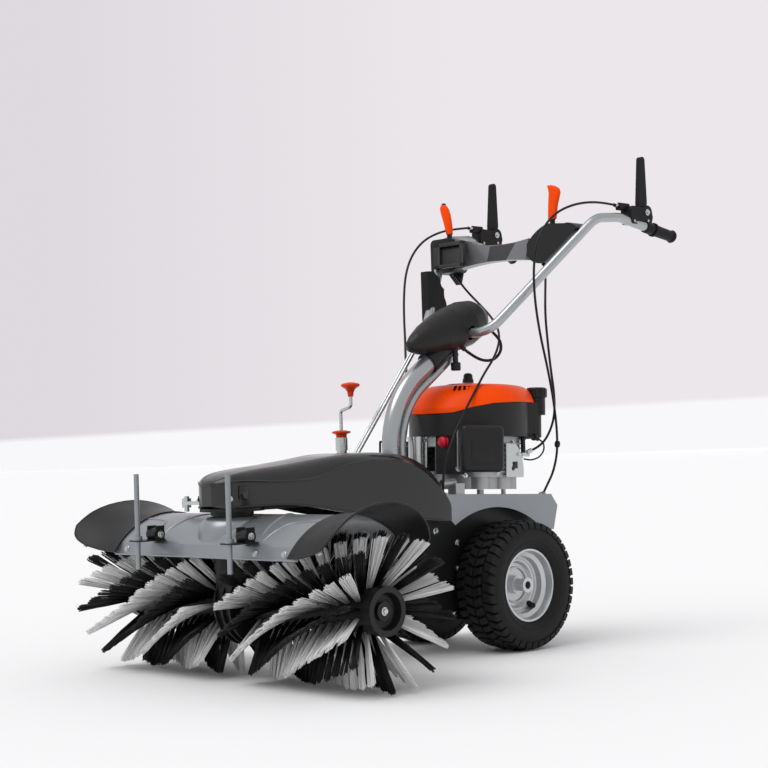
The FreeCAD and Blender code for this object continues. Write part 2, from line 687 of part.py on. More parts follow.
def make_engine_plate():
    """The silver plate under the engine, with a skirt cut to a wheel arch on each side."""
    top = box(-PLATE_HALF, PLATE_HALF, PLATE_Y0, PLATE_Y1 - 14, PLATE_Z - PLATE_T, PLATE_Z)
    foot = PLATE_Y1 - 18
    edges = [[(PLATE_Y0, PLATE_Z), (PLATE_Y0, 352)], [(PLATE_Y0, 352), (-170, 319)],
             [(-170, 319), (-14, 363), (148, 315)], [(148, 315), (foot - 4, 302)],
             [(foot - 4, 302), (foot + 14, 302)], [(foot + 14, 302), (PLATE_Y1 + 12, 366)],
             [(PLATE_Y1 + 12, 366), (PLATE_Y1 - 14, PLATE_Z)], [(PLATE_Y1 - 14, PLATE_Z), (PLATE_Y0, PLATE_Z)]]
    skirt = curved_prism(edges, "X", PLATE_HALF - PLATE_T, PLATE_HALF)
    lip = box(-PLATE_HALF, PLATE_HALF, PLATE_Y1 - 16, PLATE_Y1 - 14 + 2, PLATE_Z - PLATE_T - 8, PLATE_Z)
    plate = pitched(fuse(top, lip, *pair(skirt)))
    x, y, z = DRIVE_CABLE[-1]
    tab = box(x - 8, x + 8, y - GLAND_R, y - GLAND_R + 3, PLATE_Z, z - 6)
    glands = [gland(route[::-1]) for route in (CLUTCH_CABLE, SHIFT_CABLE, DRIVE_CABLE)]
    save("engine_plate", fuse(plate, tab, *glands))


def make_beam():
    """The arm from the side plates to the swivel, a plate with its long edges turned up."""
    inner = SIDE_PLATE_X - SIDE_PLATE_T
    rear = PLATE_Y0 - 8
    half = [(BEAM_HALF, -SWIVEL_AHEAD), (BEAM_HALF, -420), (inner, -330), (inner, rear)]
    low = COVER_Z - BEAM_T
    beam = prism(half + [(-x, y) for x, y in reversed(half)], "Z", low, COVER_Z - SEAT)
    walls = []
    for side in SIDES.values():
        wall = prism([(BEAM_HALF, -SWIVEL_AHEAD + BOSS_R), (BEAM_HALF, -420), (inner, -330), (inner, -300),
                      (inner - 4, -300), (inner - 4, -328), (BEAM_HALF - 4, -418),
                      (BEAM_HALF - 4, -SWIVEL_AHEAD + BOSS_R)], "Z", low + 1, COVER_Z + BEAM_WALL)
        walls.append(mirrored(wall, side))
    nose = disc_z(0, -SWIVEL_AHEAD, low, COVER_Z - SEAT, NOSE_R - 1)
    boss = disc_z(0, -SWIVEL_AHEAD, TURRET_TOP + SWIVEL_SEAT, COVER_Z - 4, BOSS_R)
    step = disc_z(0, -SWIVEL_AHEAD, TURRET_TOP + 16, COVER_Z - 4, BOSS_R + 5)
    pin = disc_z(0, -SWIVEL_AHEAD, TURRET_TOP - PIVOT_L, COVER_Z - 4, PIVOT_R)
    save("swivel_beam", fuse(beam, nose, boss, step, pin, *walls))
    arm_y = -SWIVEL_AHEAD + ARM_LAG
    arm = box(ARM_X - 8, -BOSS_R, arm_y - ARM_W / 2, arm_y + ARM_W / 2, ARM_Z, ARM_Z + ARM_T)
    arm = rounded(arm, 8)
    bolt = disc_z(ARM_X, arm_y, ARM_BOLT_LOW, ARM_BOLT_TOP, ARM_BOLT_R)
    nuts = [disc_z(ARM_X, arm_y, z, z + 7, ARM_BOLT_R + 5) for z in (ARM_Z - 7, ARM_Z + ARM_T)]
    seat = disc_z(-BOSS_R + 6, arm_y, COVER_Z + SEAT, ARM_Z + 1, 10)
    save("stop_arm", fuse(arm, bolt, seat, *nuts).cut(box(-BEAM_HALF - 1, 0, arm_y - 40, arm_y + 40, 0, ARM_Z + 40)))


# Belt cover, as sections across the machine from the nose to the side lobes by the wheels:
# place along Y, half width, lower edge, shoulder, top

def cover_stations():
    tip = -SWIVEL_AHEAD - NOSE_R
    stations = []
    for back, low, shoulder, top in ((2, 407, 446, 455), (9, 401, 452, 463), (24, COVER_Z, 458, 471),
                                     (48, COVER_Z, 461, 479)):
        y = tip + back
        half = math.sqrt(NOSE_R ** 2 - (y + SWIVEL_AHEAD) ** 2)
        stations.append((y, half, low, shoulder, top))
    stations += [(-SWIVEL_AHEAD + 8, NOSE_R + 1, COVER_Z, 461, 486), (-680, 84, COVER_Z, 457, 497),
                 (-590, 90, 388, 462, 507), (-505, 99, 372, 488, 514), (-420, 108, 360, 496, 516),
                 (-330, 120, 349, 486, 510), (-268, 127, 342, 456, 494), (-222, 130, 339, 414, 462),
                 (-190, 130, 338, 374, 424)]
    return stations


def cover_wire(station, inset):
    """One section of the belt cover, drawn in by a wall's thickness."""
    y, half, low, shoulder, top = station
    w = half - inset
    zs = shoulder - inset * 0.6
    zt = top - inset
    z0 = low - (1 if inset else 0)
    crown = w * 0.5
    rise = zt - zs
    a, b, c, d = V(w, y, z0), V(w, y, zs), V(w * 0.86, y, zs + rise * 0.62), V(crown, y, zs + rise * 0.93)
    e = V(0, y, zt)
    f, g, h, i = V(-crown, y, d.z), V(-w * 0.86, y, c.z), V(-w, y, zs), V(-w, y, z0)
    return Part.Wire([Part.LineSegment(a, b).toShape(), Part.Arc(b, c, d).toShape(),
                      Part.Arc(d, e, f).toShape(), Part.Arc(f, g, h).toShape(),
                      Part.LineSegment(h, i).toShape(), Part.LineSegment(i, a).toShape()])


def make_cover():
    stations = cover_stations()
    outer = Part.makeLoft([cover_wire(s, 0) for s in stations], True, False)
    inner_stations = [(s[0] + (COVER_T if k == 1 else 0), *s[1:]) for k, s in enumerate(stations)][1:]
    inner = Part.makeLoft([cover_wire(s, COVER_T) for s in inner_stations], True, False)
    rear = box(-PLATE_HALF - 1, PLATE_HALF + 1, PLATE_Y0 - 12, 0, 300, 600)
    past = box(-2 * PLATE_HALF, 2 * PLATE_HALF, inner_stations[-1][0] - 0.5, 0, 300, 600)
    well = fuse(disc_z(0, COLUMN_Y, COVER_Z, 600, COLUMN_R + FOOT_WALL + 5),
                box(-COLUMN_R - 10, COLUMN_R + 10, COLUMN_Y, PLATE_Y0, COVER_Z, 600))
    arm_y = -SWIVEL_AHEAD + ARM_LAG
    port = box(-2 * NOSE_R, -BOSS_R, arm_y - ARM_W / 2 - 2, arm_y + ARM_W / 2 + 2, ARM_Z - 2, ARM_Z + ARM_T + 2)
    shell = outer.cut(inner)
    save("belt_cover", shell.cut(fuse(rear, past)).cut(well).cut(port))


# Engine

def housing_plan(grow, z0, z1):
    """The blower and tank outline: a disc with a squared rear corner for the tank."""
    disc = disc_z(0, ENGINE_Y, z0, z1, SHROUD_R + grow)
    tank = box(TANK_X0 - grow, TANK_X1 + grow, ENGINE_Y, TANK_Y1 + grow, z0, z1)
    return fuse(disc, rounded(tank, 26))


def make_housing():
    """The black lower housing and the orange recoil cover, parted on a line that sweeps up to the rear."""
    parting = [(-200, 601), (-165, 601), (-128, 605), (-95, 619), (-50, 629), (20, 634), (110, 637), (260, 638)]
    top = [[parting[0], *parting[1:-1], parting[-1]], [(260, 638), (260, 760)], [(260, 760), (-200, 760)],
           [(-200, 760), (-200, 601)]]
    above = curved_prism(top, "X", -260, 260)
    lower = housing_plan(0, SHROUD_Z0, 660).cut(above)
    neck = disc_z(FUEL_CAP_X, FUEL_CAP_Y, SHROUD_Z1, 652, NECK_R)
    save("blower_housing", pitched(fuse(lower, neck)))
    dome = turned([(SHROUD_Z1 - 16, 0), (SHROUD_Z1 - 16, SHROUD_R + 3), (618, SHROUD_R + 2), (632, 153),
                   (645, 144), (656, 134), (666, 123), (674, 112), (680, 98), (RECOIL_TOP, 72), (RECOIL_TOP, 0)],
                  V(0, ENGINE_Y, 0), V(0, 0, 1))
    back = box(-96, 94, ENGINE_Y, 166, SHROUD_Z1 - 16, RECOIL_TOP + 6)
    back = rounded(back, 20)
    back = back.makeFillet(10, [e for e in back.Edges if e.BoundBox.ZMin > RECOIL_TOP + 5])
    cover = fuse(dome, back).common(above)
    cover.translate(V(0, 0, SEAT))
    cover = cover.cut(disc_z(FUEL_CAP_X, FUEL_CAP_Y, 600, 720, FUEL_CAP_R + 3))
    slots = []
    for i in range(SLOT_COUNT):
        slot = box(-SLOT_W / 2, SLOT_W / 2, -SHROUD_R, -SLOT_IN, SLOT_Z, SLOT_Z + SLOT_H)
        slot.rotate(V(0, 0, 0), V(0, 0, 1), SLOT_START + SLOT_STEP * i)
        slot.translate(V(0, ENGINE_Y, 0))
        slots.append(slot)
    save("recoil_cover", pitched(cover.cut(fuse(*slots))))
    low, high, r = 6.5, RECOIL_CAP_H, RECOIL_CAP_R
    cap = turned([(low, 0), (low, r + 1.5), (low + 8, r + 1), (low + 12, r - 1), (high - 6, r - 1.5), (high - 2, r - 4),
                  (high, r - 8), (high, 0)], V(0, ENGINE_Y, RECOIL_TOP), V(0, 0, 1))
    save("recoil_cap", pitched(cap))


def make_fuel_cap():
    r = FUEL_CAP_R
    cap = turned([(SEAT, 0), (SEAT, r - 2), (3, r), (22, r), (25, r - 1.5), (27, r - 5), (27, r - 12), (25.5, r - 13),
                  (25.5, 0)], V(FUEL_CAP_X, FUEL_CAP_Y, 652), V(0, 0, 1))
    notches = []
    for i in range(12):
        notch = disc_z(FUEL_CAP_X + FUEL_CAP_R + 2.4, FUEL_CAP_Y, 640, 674, 4)
        notch.rotate(V(FUEL_CAP_X, FUEL_CAP_Y, 0), V(0, 0, 1), 30 * i)
        notches.append(notch)
    save("fuel_cap", pitched(cap.cut(fuse(*notches))))


def make_engine():
    y = ENGINE_Y
    make_housing()
    make_fuel_cap()
    heart = fuse(disc_z(0, y, CRANKCASE_Z0, 462, 96), rounded(box(-98, 112, y - 84, y + 92, 440, SHROUD_Z0 - SEAT), 22))
    barrels = [disc_z(x, yy, CRANKCASE_Z0, 456, 24) for x, yy in ((82, y - 44), (87, y + 30), (70, y + 74))]
    save("engine_block", pitched(fuse(heart, *barrels)))
    feet = [disc_z(x, yy, PLATE_Z, CRANKCASE_Z0 - SEAT, r) for x, yy, r in ((82, y - 44, 9), (92, y + 34, 6),
            (-78, y - 44, 9), (-78, y + 40, 9))]
    save("engine_feet", *[pitched(f) for f in feet])
    filter_box = box(-FILTER_D / 2, FILTER_D / 2, -FILTER_W / 2, FILTER_W / 2, FILTER_Z0, FILTER_Z0 + FILTER_H)
    filter_box = rounded(filter_box, 10, "X")
    filter_box = filter_box.makeFillet(4, [e for e in filter_box.Edges if e.BoundBox.XMin > FILTER_D / 2 - 1])
    rim_plate = rounded(box(-FILTER_D / 2 - 8, -FILTER_D / 2 - SEAT, -FILTER_W / 2 + 4, FILTER_W / 2 - 4,
                            FILTER_Z0 + 4, FILTER_Z0 + FILTER_H - 4), 10, "X")
    placed = []
    for shape in (filter_box, rim_plate):
        shape.rotate(V(0, 0, 0), V(0, 0, 1), FILTER_TURN)
        shape.translate(V(FILTER_X, FILTER_Y, 0))
        placed.append(pitched(shape))
    save("air_filter", placed[0])
    carb = rounded(box(104, 132, -112, -64, 470, 520), 6)
    intake = rod((118, -88, 496), (143, -96, 496), 17)
    save("carburettor", placed[1].fuse(pitched(fuse(carb, intake))).removeSplitter())
    make_starter()
    muffler = rounded(box(-176, -106, -118, 58, 440, 524), 14, "Y")
    port = rod((-110, y - 10, 486), (-98 - SEAT, y - 10, 486), 18)
    save("muffler", pitched(fuse(muffler, port)))
    make_guard()


def make_starter():
    """The starter motor, the primer bulb, the throttle bracket and the exhaust stub."""
    top = SHROUD_Z0 - SEAT
    can = disc_z(STARTER_X, STARTER_Y, 466, top, STARTER_R)
    can = fuse(can, disc_z(STARTER_X, STARTER_Y, 452, 466, STARTER_R - 6),
               disc_z(STARTER_X, STARTER_Y, top - 8, top, STARTER_R + 2))
    save("starter_motor", pitched(can))
    plate = rounded(box(-22, -14, -132, -98, 456, top), 3)
    throttle = fuse(plate, box(-22, 6, -112, -104, 520, top))
    housing = rounded(box(8, 84, -126, -84, 448, top), 10)
    ball = Part.makeSphere(15, V(45, -126 - SEAT, 530))
    ball = ball.common(box(0, 90, -150, -126 - SEAT, 500, 560))
    save("primer", pitched(housing), pitched(ball))
    stub = rod((102, -150, 428), (102, -196, 424), 9).cut(rod((102, -150, 428), (102, -200, 424), 6.5))
    stay = box(88, 116, -158, -126, 400 - 4, 424)
    stub = fuse(stub, stay.cut(rod((102, -120, 428), (102, -200, 424), 6.5)))
    wall = curved_prism([[(26, 528), (64, 526)], [(64, 526), (86, 492), (92, 440)], [(92, 440), (26, 440)],
                         [(26, 440), (26, 528)]], "X", 119, 122)
    wall = wall.cut(disc_x(100, 140, 52, 463, 6))
    foot = box(112 + SEAT, 122, 26, 92, 440, 446)
    tab = box(112 + SEAT, 122, 40, 60, 524, 527)
    lug = box(119, 122, 88, 118, 494, 512)
    side = fuse(pitched(fuse(wall, foot, tab, lug)), gland(SPEED_CABLE[::-1]))
    save("engine_brackets", pitched(throttle), pitched(stub), side)


def make_guard():
    """A cage of round bars round the muffler."""
    x0, x1, y0, y1, z0, z1 = -188.0, -112.0, -132.0, 70.0, 428.0, 536.0
    bars = []
    for z in (z0, z1):
        bars.append(rod((x0, y0, z), (x0, y1, z), 3))
        bars.append(rod((x0, y0, z), (x1, y0, z), 3))
        bars.append(rod((x0, y1, z), (x1, y1, z), 3))
    count = 7
    for i in range(count):
        y = y0 + (y1 - y0) * i / (count - 1)
        bars.append(rod((x0, y, z0), (x0, y, z1), 3))
    for i in range(1, 4):
        x = x0 + (x1 - x0) * i / 3
        for y in (y0, y1):
            bars.append(rod((x, y, z0), (x, y, z1), 3))
    feet = [rod((x0, y, PLATE_Z - 20), (x0, y, z0), 3) for y in (y0, y1)]
    tabs = [box(x0 - 3, -PLATE_HALF - SEAT, y - 8, y + 8, PLATE_Z - 22, PLATE_Z - 18) for y in (y0, y1)]
    save("muffler_guard", pitched(fuse(*bars, *feet, *tabs)))


# Column, shroud and handlebar

def column_route(back, start_z, stop):
    """The column's line, moved back inside the bend and ended short of the pivot."""
    corner = V(0, COLUMN_Y, COLUMN_BEND_Z)
    end = V(0, PIVOT_Y, PIVOT_Z)
    d = (end - corner).normalize()
    lean = math.atan2(d.z, d.y)
    side = V(0, math.sin(lean), -math.cos(lean)) * back
    shift = back * math.tan((math.pi / 2 - lean) / 2)
    low = V(0, COLUMN_Y + back, start_z)
    bend = V(0, COLUMN_Y + back, COLUMN_BEND_Z - shift)
    tip = end + side - d * stop
    return [tuple(low), tuple(bend), tuple(tip)]


def make_column():
    foot = rounded(box(-42, 42, COLUMN_Y - 36, COLUMN_Y + 54, COVER_Z - SEAT, COVER_Z + 12), 10)
    wall = COLUMN_R + FOOT_WALL
    collar = disc_z(0, COLUMN_Y, COVER_Z, COVER_Z + FOOT_H, wall)
    gusset = box(-3, 3, COLUMN_Y - wall - 6, COLUMN_Y, COVER_Z, COVER_Z + 50)
    sleeve = disc_z(0, COLUMN_Y, COVER_Z + 12, COVER_Z + FOOT_H + 1, COLUMN_R)
    stay_hole = disc_z(0, COLUMN_Y + STAY_BACK, COVER_Z + 12, COVER_Z + FOOT_H + 1, STAY_R + SEAT)
    save("column_foot", fuse(foot, collar, gusset).cut(sleeve).cut(stay_hole))
    low = COVER_Z + 12 + SEAT
    save("column", pipe(column_route(0, low, BARREL_R + SEAT), [COLUMN_BEND_R], COLUMN_R - SEAT),
         pipe(column_route(STAY_BACK, low, BARREL_R + 10), [COLUMN_BEND_R - STAY_BACK], STAY_R))
    hole = disc_x(-2 * BARREL_HALF, 2 * BARREL_HALF, PIVOT_Y, PIVOT_Z, BAR_R + RUN_FIT)
    save("pivot_barrel", disc_x(-BARREL_HALF, BARREL_HALF, PIVOT_Y, PIVOT_Z, BARREL_R).cut(hole))
    make_shroud()


def shroud_body(inset):
    """The egg over the handlebar's pivot, fuller at the rear."""
    lean = math.radians(SHROUD_LEAN)
    line = [(-155, 0), (-149, 14), (-124, 28), (-86, 42), (-40, 53), (10, 60), (60, 61), (100, 53), (126, 37),
            (142, 17), (147, 0)]
    length = 150.0
    return turned([(a * (1 - inset / length), max(0.0, r - inset)) for a, r in line], V(0, *SHROUD_CENTRE),
                  V(0, math.cos(lean), math.sin(lean)))


def make_shroud():
    bar_hole = disc_x(-2 * PLATE_HALF, 2 * PLATE_HALF, PIVOT_Y, PIVOT_Z, BAR_R + 6)
    route = column_route(0, COVER_Z, 0)
    column_hole = rod(route[1], route[2], COLUMN_R + 2)
    stay = column_route(STAY_BACK, COVER_Z, 0)
    stay_hole = rod(stay[1], stay[2], STAY_R + 2)
    down = (V(*route[1]) - V(*route[2])).normalize()
    neck = Part.makeCylinder(COLUMN_R + 2 + SHROUD_WALL, SHROUD_NECK - 2 * BARREL_R, V(*route[2]) + down * 2 * BARREL_R,
                             down)
    lever_pin = disc_x(-84, -SHROUD_CENTRE_HALF, *ROD_PIN, 5)
    glands = [gland(PIVOT_LOOP), gland(PIVOT_LOOP[::-1])]
    shell = fuse(shroud_body(0), neck, lever_pin, *glands).cut(shroud_body(SHROUD_WALL))
    shell = shell.cut(fuse(bar_hole, column_hole)).cut(stay_hole)
    ribs = []
    for side in SIDES.values():
        rib = disc_x(BARREL_HALF + SEAT, BARREL_HALF + 8, PIVOT_Y, PIVOT_Z, 62).common(shroud_body(1))
        rib = rib.cut(disc_x(0, 2 * BARREL_HALF, PIVOT_Y, PIVOT_Z, BAR_R + 6))
        ribs.append(mirrored(rib, side))
    x, y, z = KNOB
    stem = rod((x, y, z + 22), (x, y, z + 70), 7).cut(shroud_body(-SEAT))
    head = rod((x, y, z), (x, y, z + 22), 13)
    save("pivot_shroud", fuse(shell, *ribs), fuse(head.makeFillet(4, head.Edges), stem))


def make_handlebar():
    cross = HANDLE_ROUTE
    tube = pipe(cross, HANDLE_BENDS, BAR_R)
    save("handle_tubes", *pair(tube))
    d = (V(*cross[-1]) - V(*cross[-2])).normalize()
    end = V(*cross[-1])
    start = end - d * GRIP_L
    r, length, bore = GRIP_R, GRIP_L, BAR_R + SEAT
    grip = turned([(0, bore), (0, r + 3), (6, r + 3), (8, r), (length - 8, r - 1), (length - 2, r + 2),
                   (length + 3, r), (length + 5, r - 4), (length + 5, 0), (length + SEAT, 0), (length + SEAT, bore)],
                  start, d)
    save("grips", *pair(grip))
    make_levers(end, d)


def make_levers(end, d):
    x0, x1 = LEVER_X - 16, LEVER_X + 20
    low = prism([(LEVER_Y + a, LEVER_Z + b) for a, b in
                 ((-64, -20), (-58, -26), (12, -29), (24, -22), (30, -4), (26, 12), (14, 20), (-56, 22), (-64, 12))],
                "X", x0, x1)
    pivot = disc_x(x0, x1, LEVER_Y + 8, LEVER_Z + 8, 19)
    arm = rounded(box(LEVER_X - 12, LEVER_X + 4, BARREL_END_Y + 14, LEVER_Y - 50, LEVER_Z + 10, LEVER_Z + 30), 4, "Y")
    screw = rod((LEVER_X - 5, BARREL_END_Y, LEVER_Z + 23), (LEVER_X - 5, BARREL_END_Y + 20, LEVER_Z + 22), 5)
    hole = Part.makeCylinder(BAR_R + SEAT, 400, end - d * 360, d)
    slot = box(LEVER_X - LEVER_T / 2 - 1, LEVER_X + LEVER_T / 2 + 1, LEVER_Y - 22, LEVER_Y + 40, LEVER_Z + 12,
               LEVER_Z + 60)
    body = fuse(low, pivot, arm, screw).cut(slot).cut(hole)
    save("lever_clamps", *pair(body))
    root = LEVER_Z + 12 + SEAT
    w0, w1 = LEVER_ROOT_W / 2, LEVER_TIP_W / 2
    mid = LEVER_Y + 6
    top = LEVER_Z + 30 + LEVER_L
    edges = [[(mid - w0, root), (mid + w0 - 6, root)], [(mid + w0 - 6, root), (mid + w0, root + 24)],
             [(mid + w0, root + 24), (mid + w1 + 4, top - 8)],
             [(mid + w1 + 4, top - 8), (mid + 4, top), (mid - w1 + 4, top - 8)],
             [(mid - w1 + 4, top - 8), (mid - w0, root + 24)], [(mid - w0, root + 24), (mid - w0, root)]]
    blade = curved_prism(edges, "X", LEVER_X - LEVER_T / 2, LEVER_X + LEVER_T / 2)
    save("hand_levers", *pair(blade))


# Console between the handle tubes

def panel_outline(top, low):
    """The arched front of the cross panel as (x, z)."""
    return [[(-196, low - 8), (-70, low + 2), (66, low - 6)], [(66, low - 6), (78, top - 4)],
            [(78, top - 4), (-20, top - 10), (-100, top - 3)], [(-100, top - 3), (-165, top + 18), (-196, top + 26)],
            [(-196, top + 26), (-196, low - 8)]]


def make_panel():
    y0, y1 = PANEL_Y0, PANEL_Y1
    face = curved_prism(panel_outline(1081, 1026), "Y", y0, y1)
    hollow = curved_prism(panel_outline(1081 - PANEL_T, 1026 + PANEL_T), "Y", y0 + PANEL_T, y1 + 1)
    save("cross_panel", face.cut(hollow))
    left_box = rounded(box(-286, -196 - SEAT, 190, 246, 1012, 1110), 14, "Y")
    recess = rounded(box(-272, -206, 180, 206, 1040, 1098), 8, "Y")
    ear = curved_prism([[(-262, 1013), (-206, 1013)], [(-206, 1013), (-216, 980)], [(-216, 980), (-234, 980)],
                        [(-234, 980), (-262, 1013)]], "Y", 236, 241)
    far = fuse(left_box.cut(recess), ear, gland(SHIFT_CABLE))
    outline = [[(78 + SEAT, 1030), (100, 1010), (142, 1008)], [(142, 1008), (200, 1046)], [(200, 1046), (252, 1086)],
               [(252, 1086), (238, 1098), (212, 1102)], [(212, 1102), (153, 1108)],
               [(153, 1108), (112, 1090), (78 + SEAT, 1060)], [(78 + SEAT, 1060), (78 + SEAT, 1030)]]
    near = fuse(curved_prism(outline, "Y", 188, 244), gland(SPEED_CABLE))
    save("control_housings", far.cut(mirrored(handle_hole(), -1)), near.cut(handle_hole()))
    levers = []
    for x, y, z in ((150, 214, 1108.5), (-232, 214, 1110.3)):
        stem = box(x - 4, x + 4, y - 7, y + 7, z, z + 20)
        grip = curved_prism([[(-12, 12), (12, 12)], [(12, 12), (15, 60), (20, 88)], [(20, 88), (8, 104), (-12, 104)],
                             [(-12, 104), (-9, 60), (-12, 12)]], "Y", -8, 8)
        grip.translate(V(x, y, z))
        levers.append(fuse(stem, grip))
    save("speed_levers", *levers)
    make_switch_box()


def make_switch_box():
    """The switch box on the right handle tube, with a scalloped rear edge."""
    edges = [[(36, 1002), (61, 1003)], [(61, 1003), (74, 992), (86, 984)], [(86, 984), (87, 970), (100, 956)],
             [(100, 956), (99, 944), (101, 930)], [(101, 930), (107, 916), (106, 894)],
             [(106, 894), (82, 878), (53, 870)], [(53, 870), (36, 868)], [(36, 868), (36, 1002)]]
    case = curved_prism(edges, "X", -176, -150)
    save("switch_box", case.cut(mirrored(handle_hole(), -1)))


def handle_hole():
    """The room that the left handle tube needs through what clamps on it."""
    return pipe(HANDLE_ROUTE, HANDLE_BENDS, BAR_R + SEAT)


# Support castor

def make_castor():
    x, y = CASTOR_X, CASTOR_Y
    jacket = disc_z(x, y, JACKET_Z0, JACKET_TOP, JACKET_R)
    cap = disc_z(x, y, JACKET_TOP - JACKET_CAP_H, JACKET_TOP, JACKET_CAP_R)
    bore = disc_z(x, y, JACKET_Z0 - 1, JACKET_TOP - 10, LEG_R + RUN_FIT)
    ear = box(x, -SIDE_PLATE_X, y - 18, y + 18, EAR_Z0, EAR_Z1)
    save("castor_jacket", fuse(jacket, cap, ear).cut(bore))
    flange = turned([(0, 0), (0, 13.5), (8, 14.5), (12, 24.5), (16, 24.5), (19, 12), (19, 0)],
                    V(x, y, JACKET_TOP), V(0, 0, 1))
    base = JACKET_TOP + 19
    bend = base + 50
    top = (x + CRANK_THROW, y, bend + 36)
    save("crank_rod", pipe([(x, y, base), (x, y, bend), (x + CRANK_THROW, y, bend + 10), top], [10, 10], CRANK_R))
    knob = turned([(0, 0), (0, 7), (12, 8.5), (20, 13), (27, 24), (31, 25), (34, 22), (37, 10), (38, 0)],
                  V(*top), V(0, 0, 1))
    save("crank_knob", knob, flange)
    leg = disc_z(x, y, CROWN_Z + SEAT, LEG_TOP, LEG_R)
    stem_hole = disc_z(x, y, CROWN_Z, CROWN_Z + STEM_H + 4, STEM_R + RUN_FIT)
    save("castor_leg", leg.cut(stem_hole))
    hub_y = y + CASTOR_TRAIL
    half = CASTOR_W / 2
    inner = half + FORK_ROOM
    outer = inner + FORK_T
    crown = rounded(box(x - outer, x + outer, y - 20, hub_y + 14, CROWN_Z - CROWN_T, CROWN_Z), 3)
    fork = [crown, disc_z(x, y, CROWN_Z, CROWN_Z + STEM_H, STEM_R)]
    for s in (x - outer, x + inner):
        fork.append(prism([(hub_y - 12, CASTOR_R - 14), (hub_y + 12, CASTOR_R - 14), (hub_y + 14, CROWN_Z),
                           (y - 20, CROWN_Z)], "X", s, s + FORK_T))
    axle = disc_x(x - outer - 5, x + outer + 5, hub_y, CASTOR_R, CASTOR_AXLE_R)
    save("castor_fork", fuse(*fork, axle))
    r, bore = CASTOR_R, CASTOR_AXLE_R + RUN_FIT
    line = [(half, bore), (half, 0.3 * r), (half - 5, 0.36 * r), (half - 5, 0.66 * r), (half, 0.72 * r),
            (half, r - 8), (half - 3, r - 3), (half - 8, r)]
    save("castor_wheel", turned(line + [(-a, b) for a, b in reversed(line)], V(x, hub_y, r), V(1, 0, 0)))


def make_control_rods():
    """Two thin stays from a lug on the right side plate to the pin on the shroud."""
    x0, y0, z0 = ROD_FOOT
    lug = box(x0 - 20, -SIDE_PLATE_X - SEAT, y0 - 10, -300, z0 - 6, z0)
    rods = []
    for x in (0, -ROD_PITCH):
        foot = V(x0 + x, y0, z0 - 3)
        run = V(ROD_PIN_X + x, *ROD_PIN) - foot
        rods.append(Part.makeCylinder(CONTROL_ROD_R, run.Length - 8, foot, run))
    save("control_rods", fuse(lug, *rods))


# Cables

def make_cables():
    save("clutch_cable", cable("clutch_cable", CLUTCH_CABLE, CABLE_R))
    save("speed_cable", cable("speed_cable", SPEED_CABLE, CABLE_R))
    save("drive_cable", cable("drive_cable", DRIVE_CABLE, CABLE_R))
    save("shift_cable", cable("shift_cable", SHIFT_CABLE, CABLE_R))
    save("pivot_loop", cable("pivot_loop", PIVOT_LOOP, LOOP_R))


os.makedirs("parts", exist_ok=True)
make_wheels()
make_brush()
make_deck()
make_chassis()
make_cover()
make_engine()
make_column()
make_handlebar()
make_panel()
make_castor()
make_control_rods()
make_cables()
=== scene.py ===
import math

import bmesh
import bpy
import numpy as np
from mathutils import Matrix, Vector


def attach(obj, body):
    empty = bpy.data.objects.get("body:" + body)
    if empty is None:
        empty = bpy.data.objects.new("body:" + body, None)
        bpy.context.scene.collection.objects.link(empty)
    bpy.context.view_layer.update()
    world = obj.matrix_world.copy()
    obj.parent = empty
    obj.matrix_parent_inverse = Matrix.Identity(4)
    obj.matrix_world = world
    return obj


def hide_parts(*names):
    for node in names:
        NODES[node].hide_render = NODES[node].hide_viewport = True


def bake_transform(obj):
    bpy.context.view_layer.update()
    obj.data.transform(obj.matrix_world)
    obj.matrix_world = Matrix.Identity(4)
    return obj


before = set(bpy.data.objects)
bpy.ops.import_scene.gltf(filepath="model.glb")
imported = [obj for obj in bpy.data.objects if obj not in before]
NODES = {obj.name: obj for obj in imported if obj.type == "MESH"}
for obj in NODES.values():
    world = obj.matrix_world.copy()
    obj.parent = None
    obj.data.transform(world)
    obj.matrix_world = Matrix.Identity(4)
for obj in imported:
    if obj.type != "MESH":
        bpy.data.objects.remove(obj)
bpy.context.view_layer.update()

# Sizes in millimetres. Places have x and y from the middle of the axle and z from the floor
AXLE_Y = 192.5
TYRE_R = 165.0
WHEEL_X = 165.0
BRUSH_Y, BRUSH_Z, BRUSH_R = -725.0, 176.0, 175.0
CORE_R = 50.6
HOOD_R = 205.5
PLATE_Z, PLATE_SLOPE = 396.0, 0.038
CABLE_R = 3.2
LOOP_R = 4.0

# Routes of the cables
CLUTCH_CABLE = [(268, 330.4, 1154), (267, 277, 1157), (262, 216, 1153), (255, 163, 1141), (248, 114, 1120),
                (240, 76, 1086), (231, 52, 1037), (225, 43, 975), (218, 52, 893), (205, 83, 806),
                (190, 126, 720), (175, 163, 636), (162, 188, 560), (148, 203, 498), (131, 203, 445),
                (119, 190, 412), (114, 182, 394)]
SPEED_CABLE = [(122, 205, 1002.8), (140, 190, 975), (162, 160, 920), (178, 138, 860), (183, 138, 790),
               (178, 152, 721), (168, 176, 650), (155, 188, 592), (141, 178, 545), (131, 152, 515),
               (124, 126, 506)]
DRIVE_CABLE = [(-268, 330.4, 1154), (-267, 266, 1146), (-262, 196, 1130), (-255, 128, 1102), (-246, 72, 1056),
               (-235, 36, 1002), (-220, 12, 941), (-198, -12, 876), (-166, -42, 817), (-132, -76, 764),
               (-98, -108, 707), (-74, -128, 645), (-58, -154, 585), (-48, -176, 530), (-43, -186, 480),
               (-42, -192, 448)]
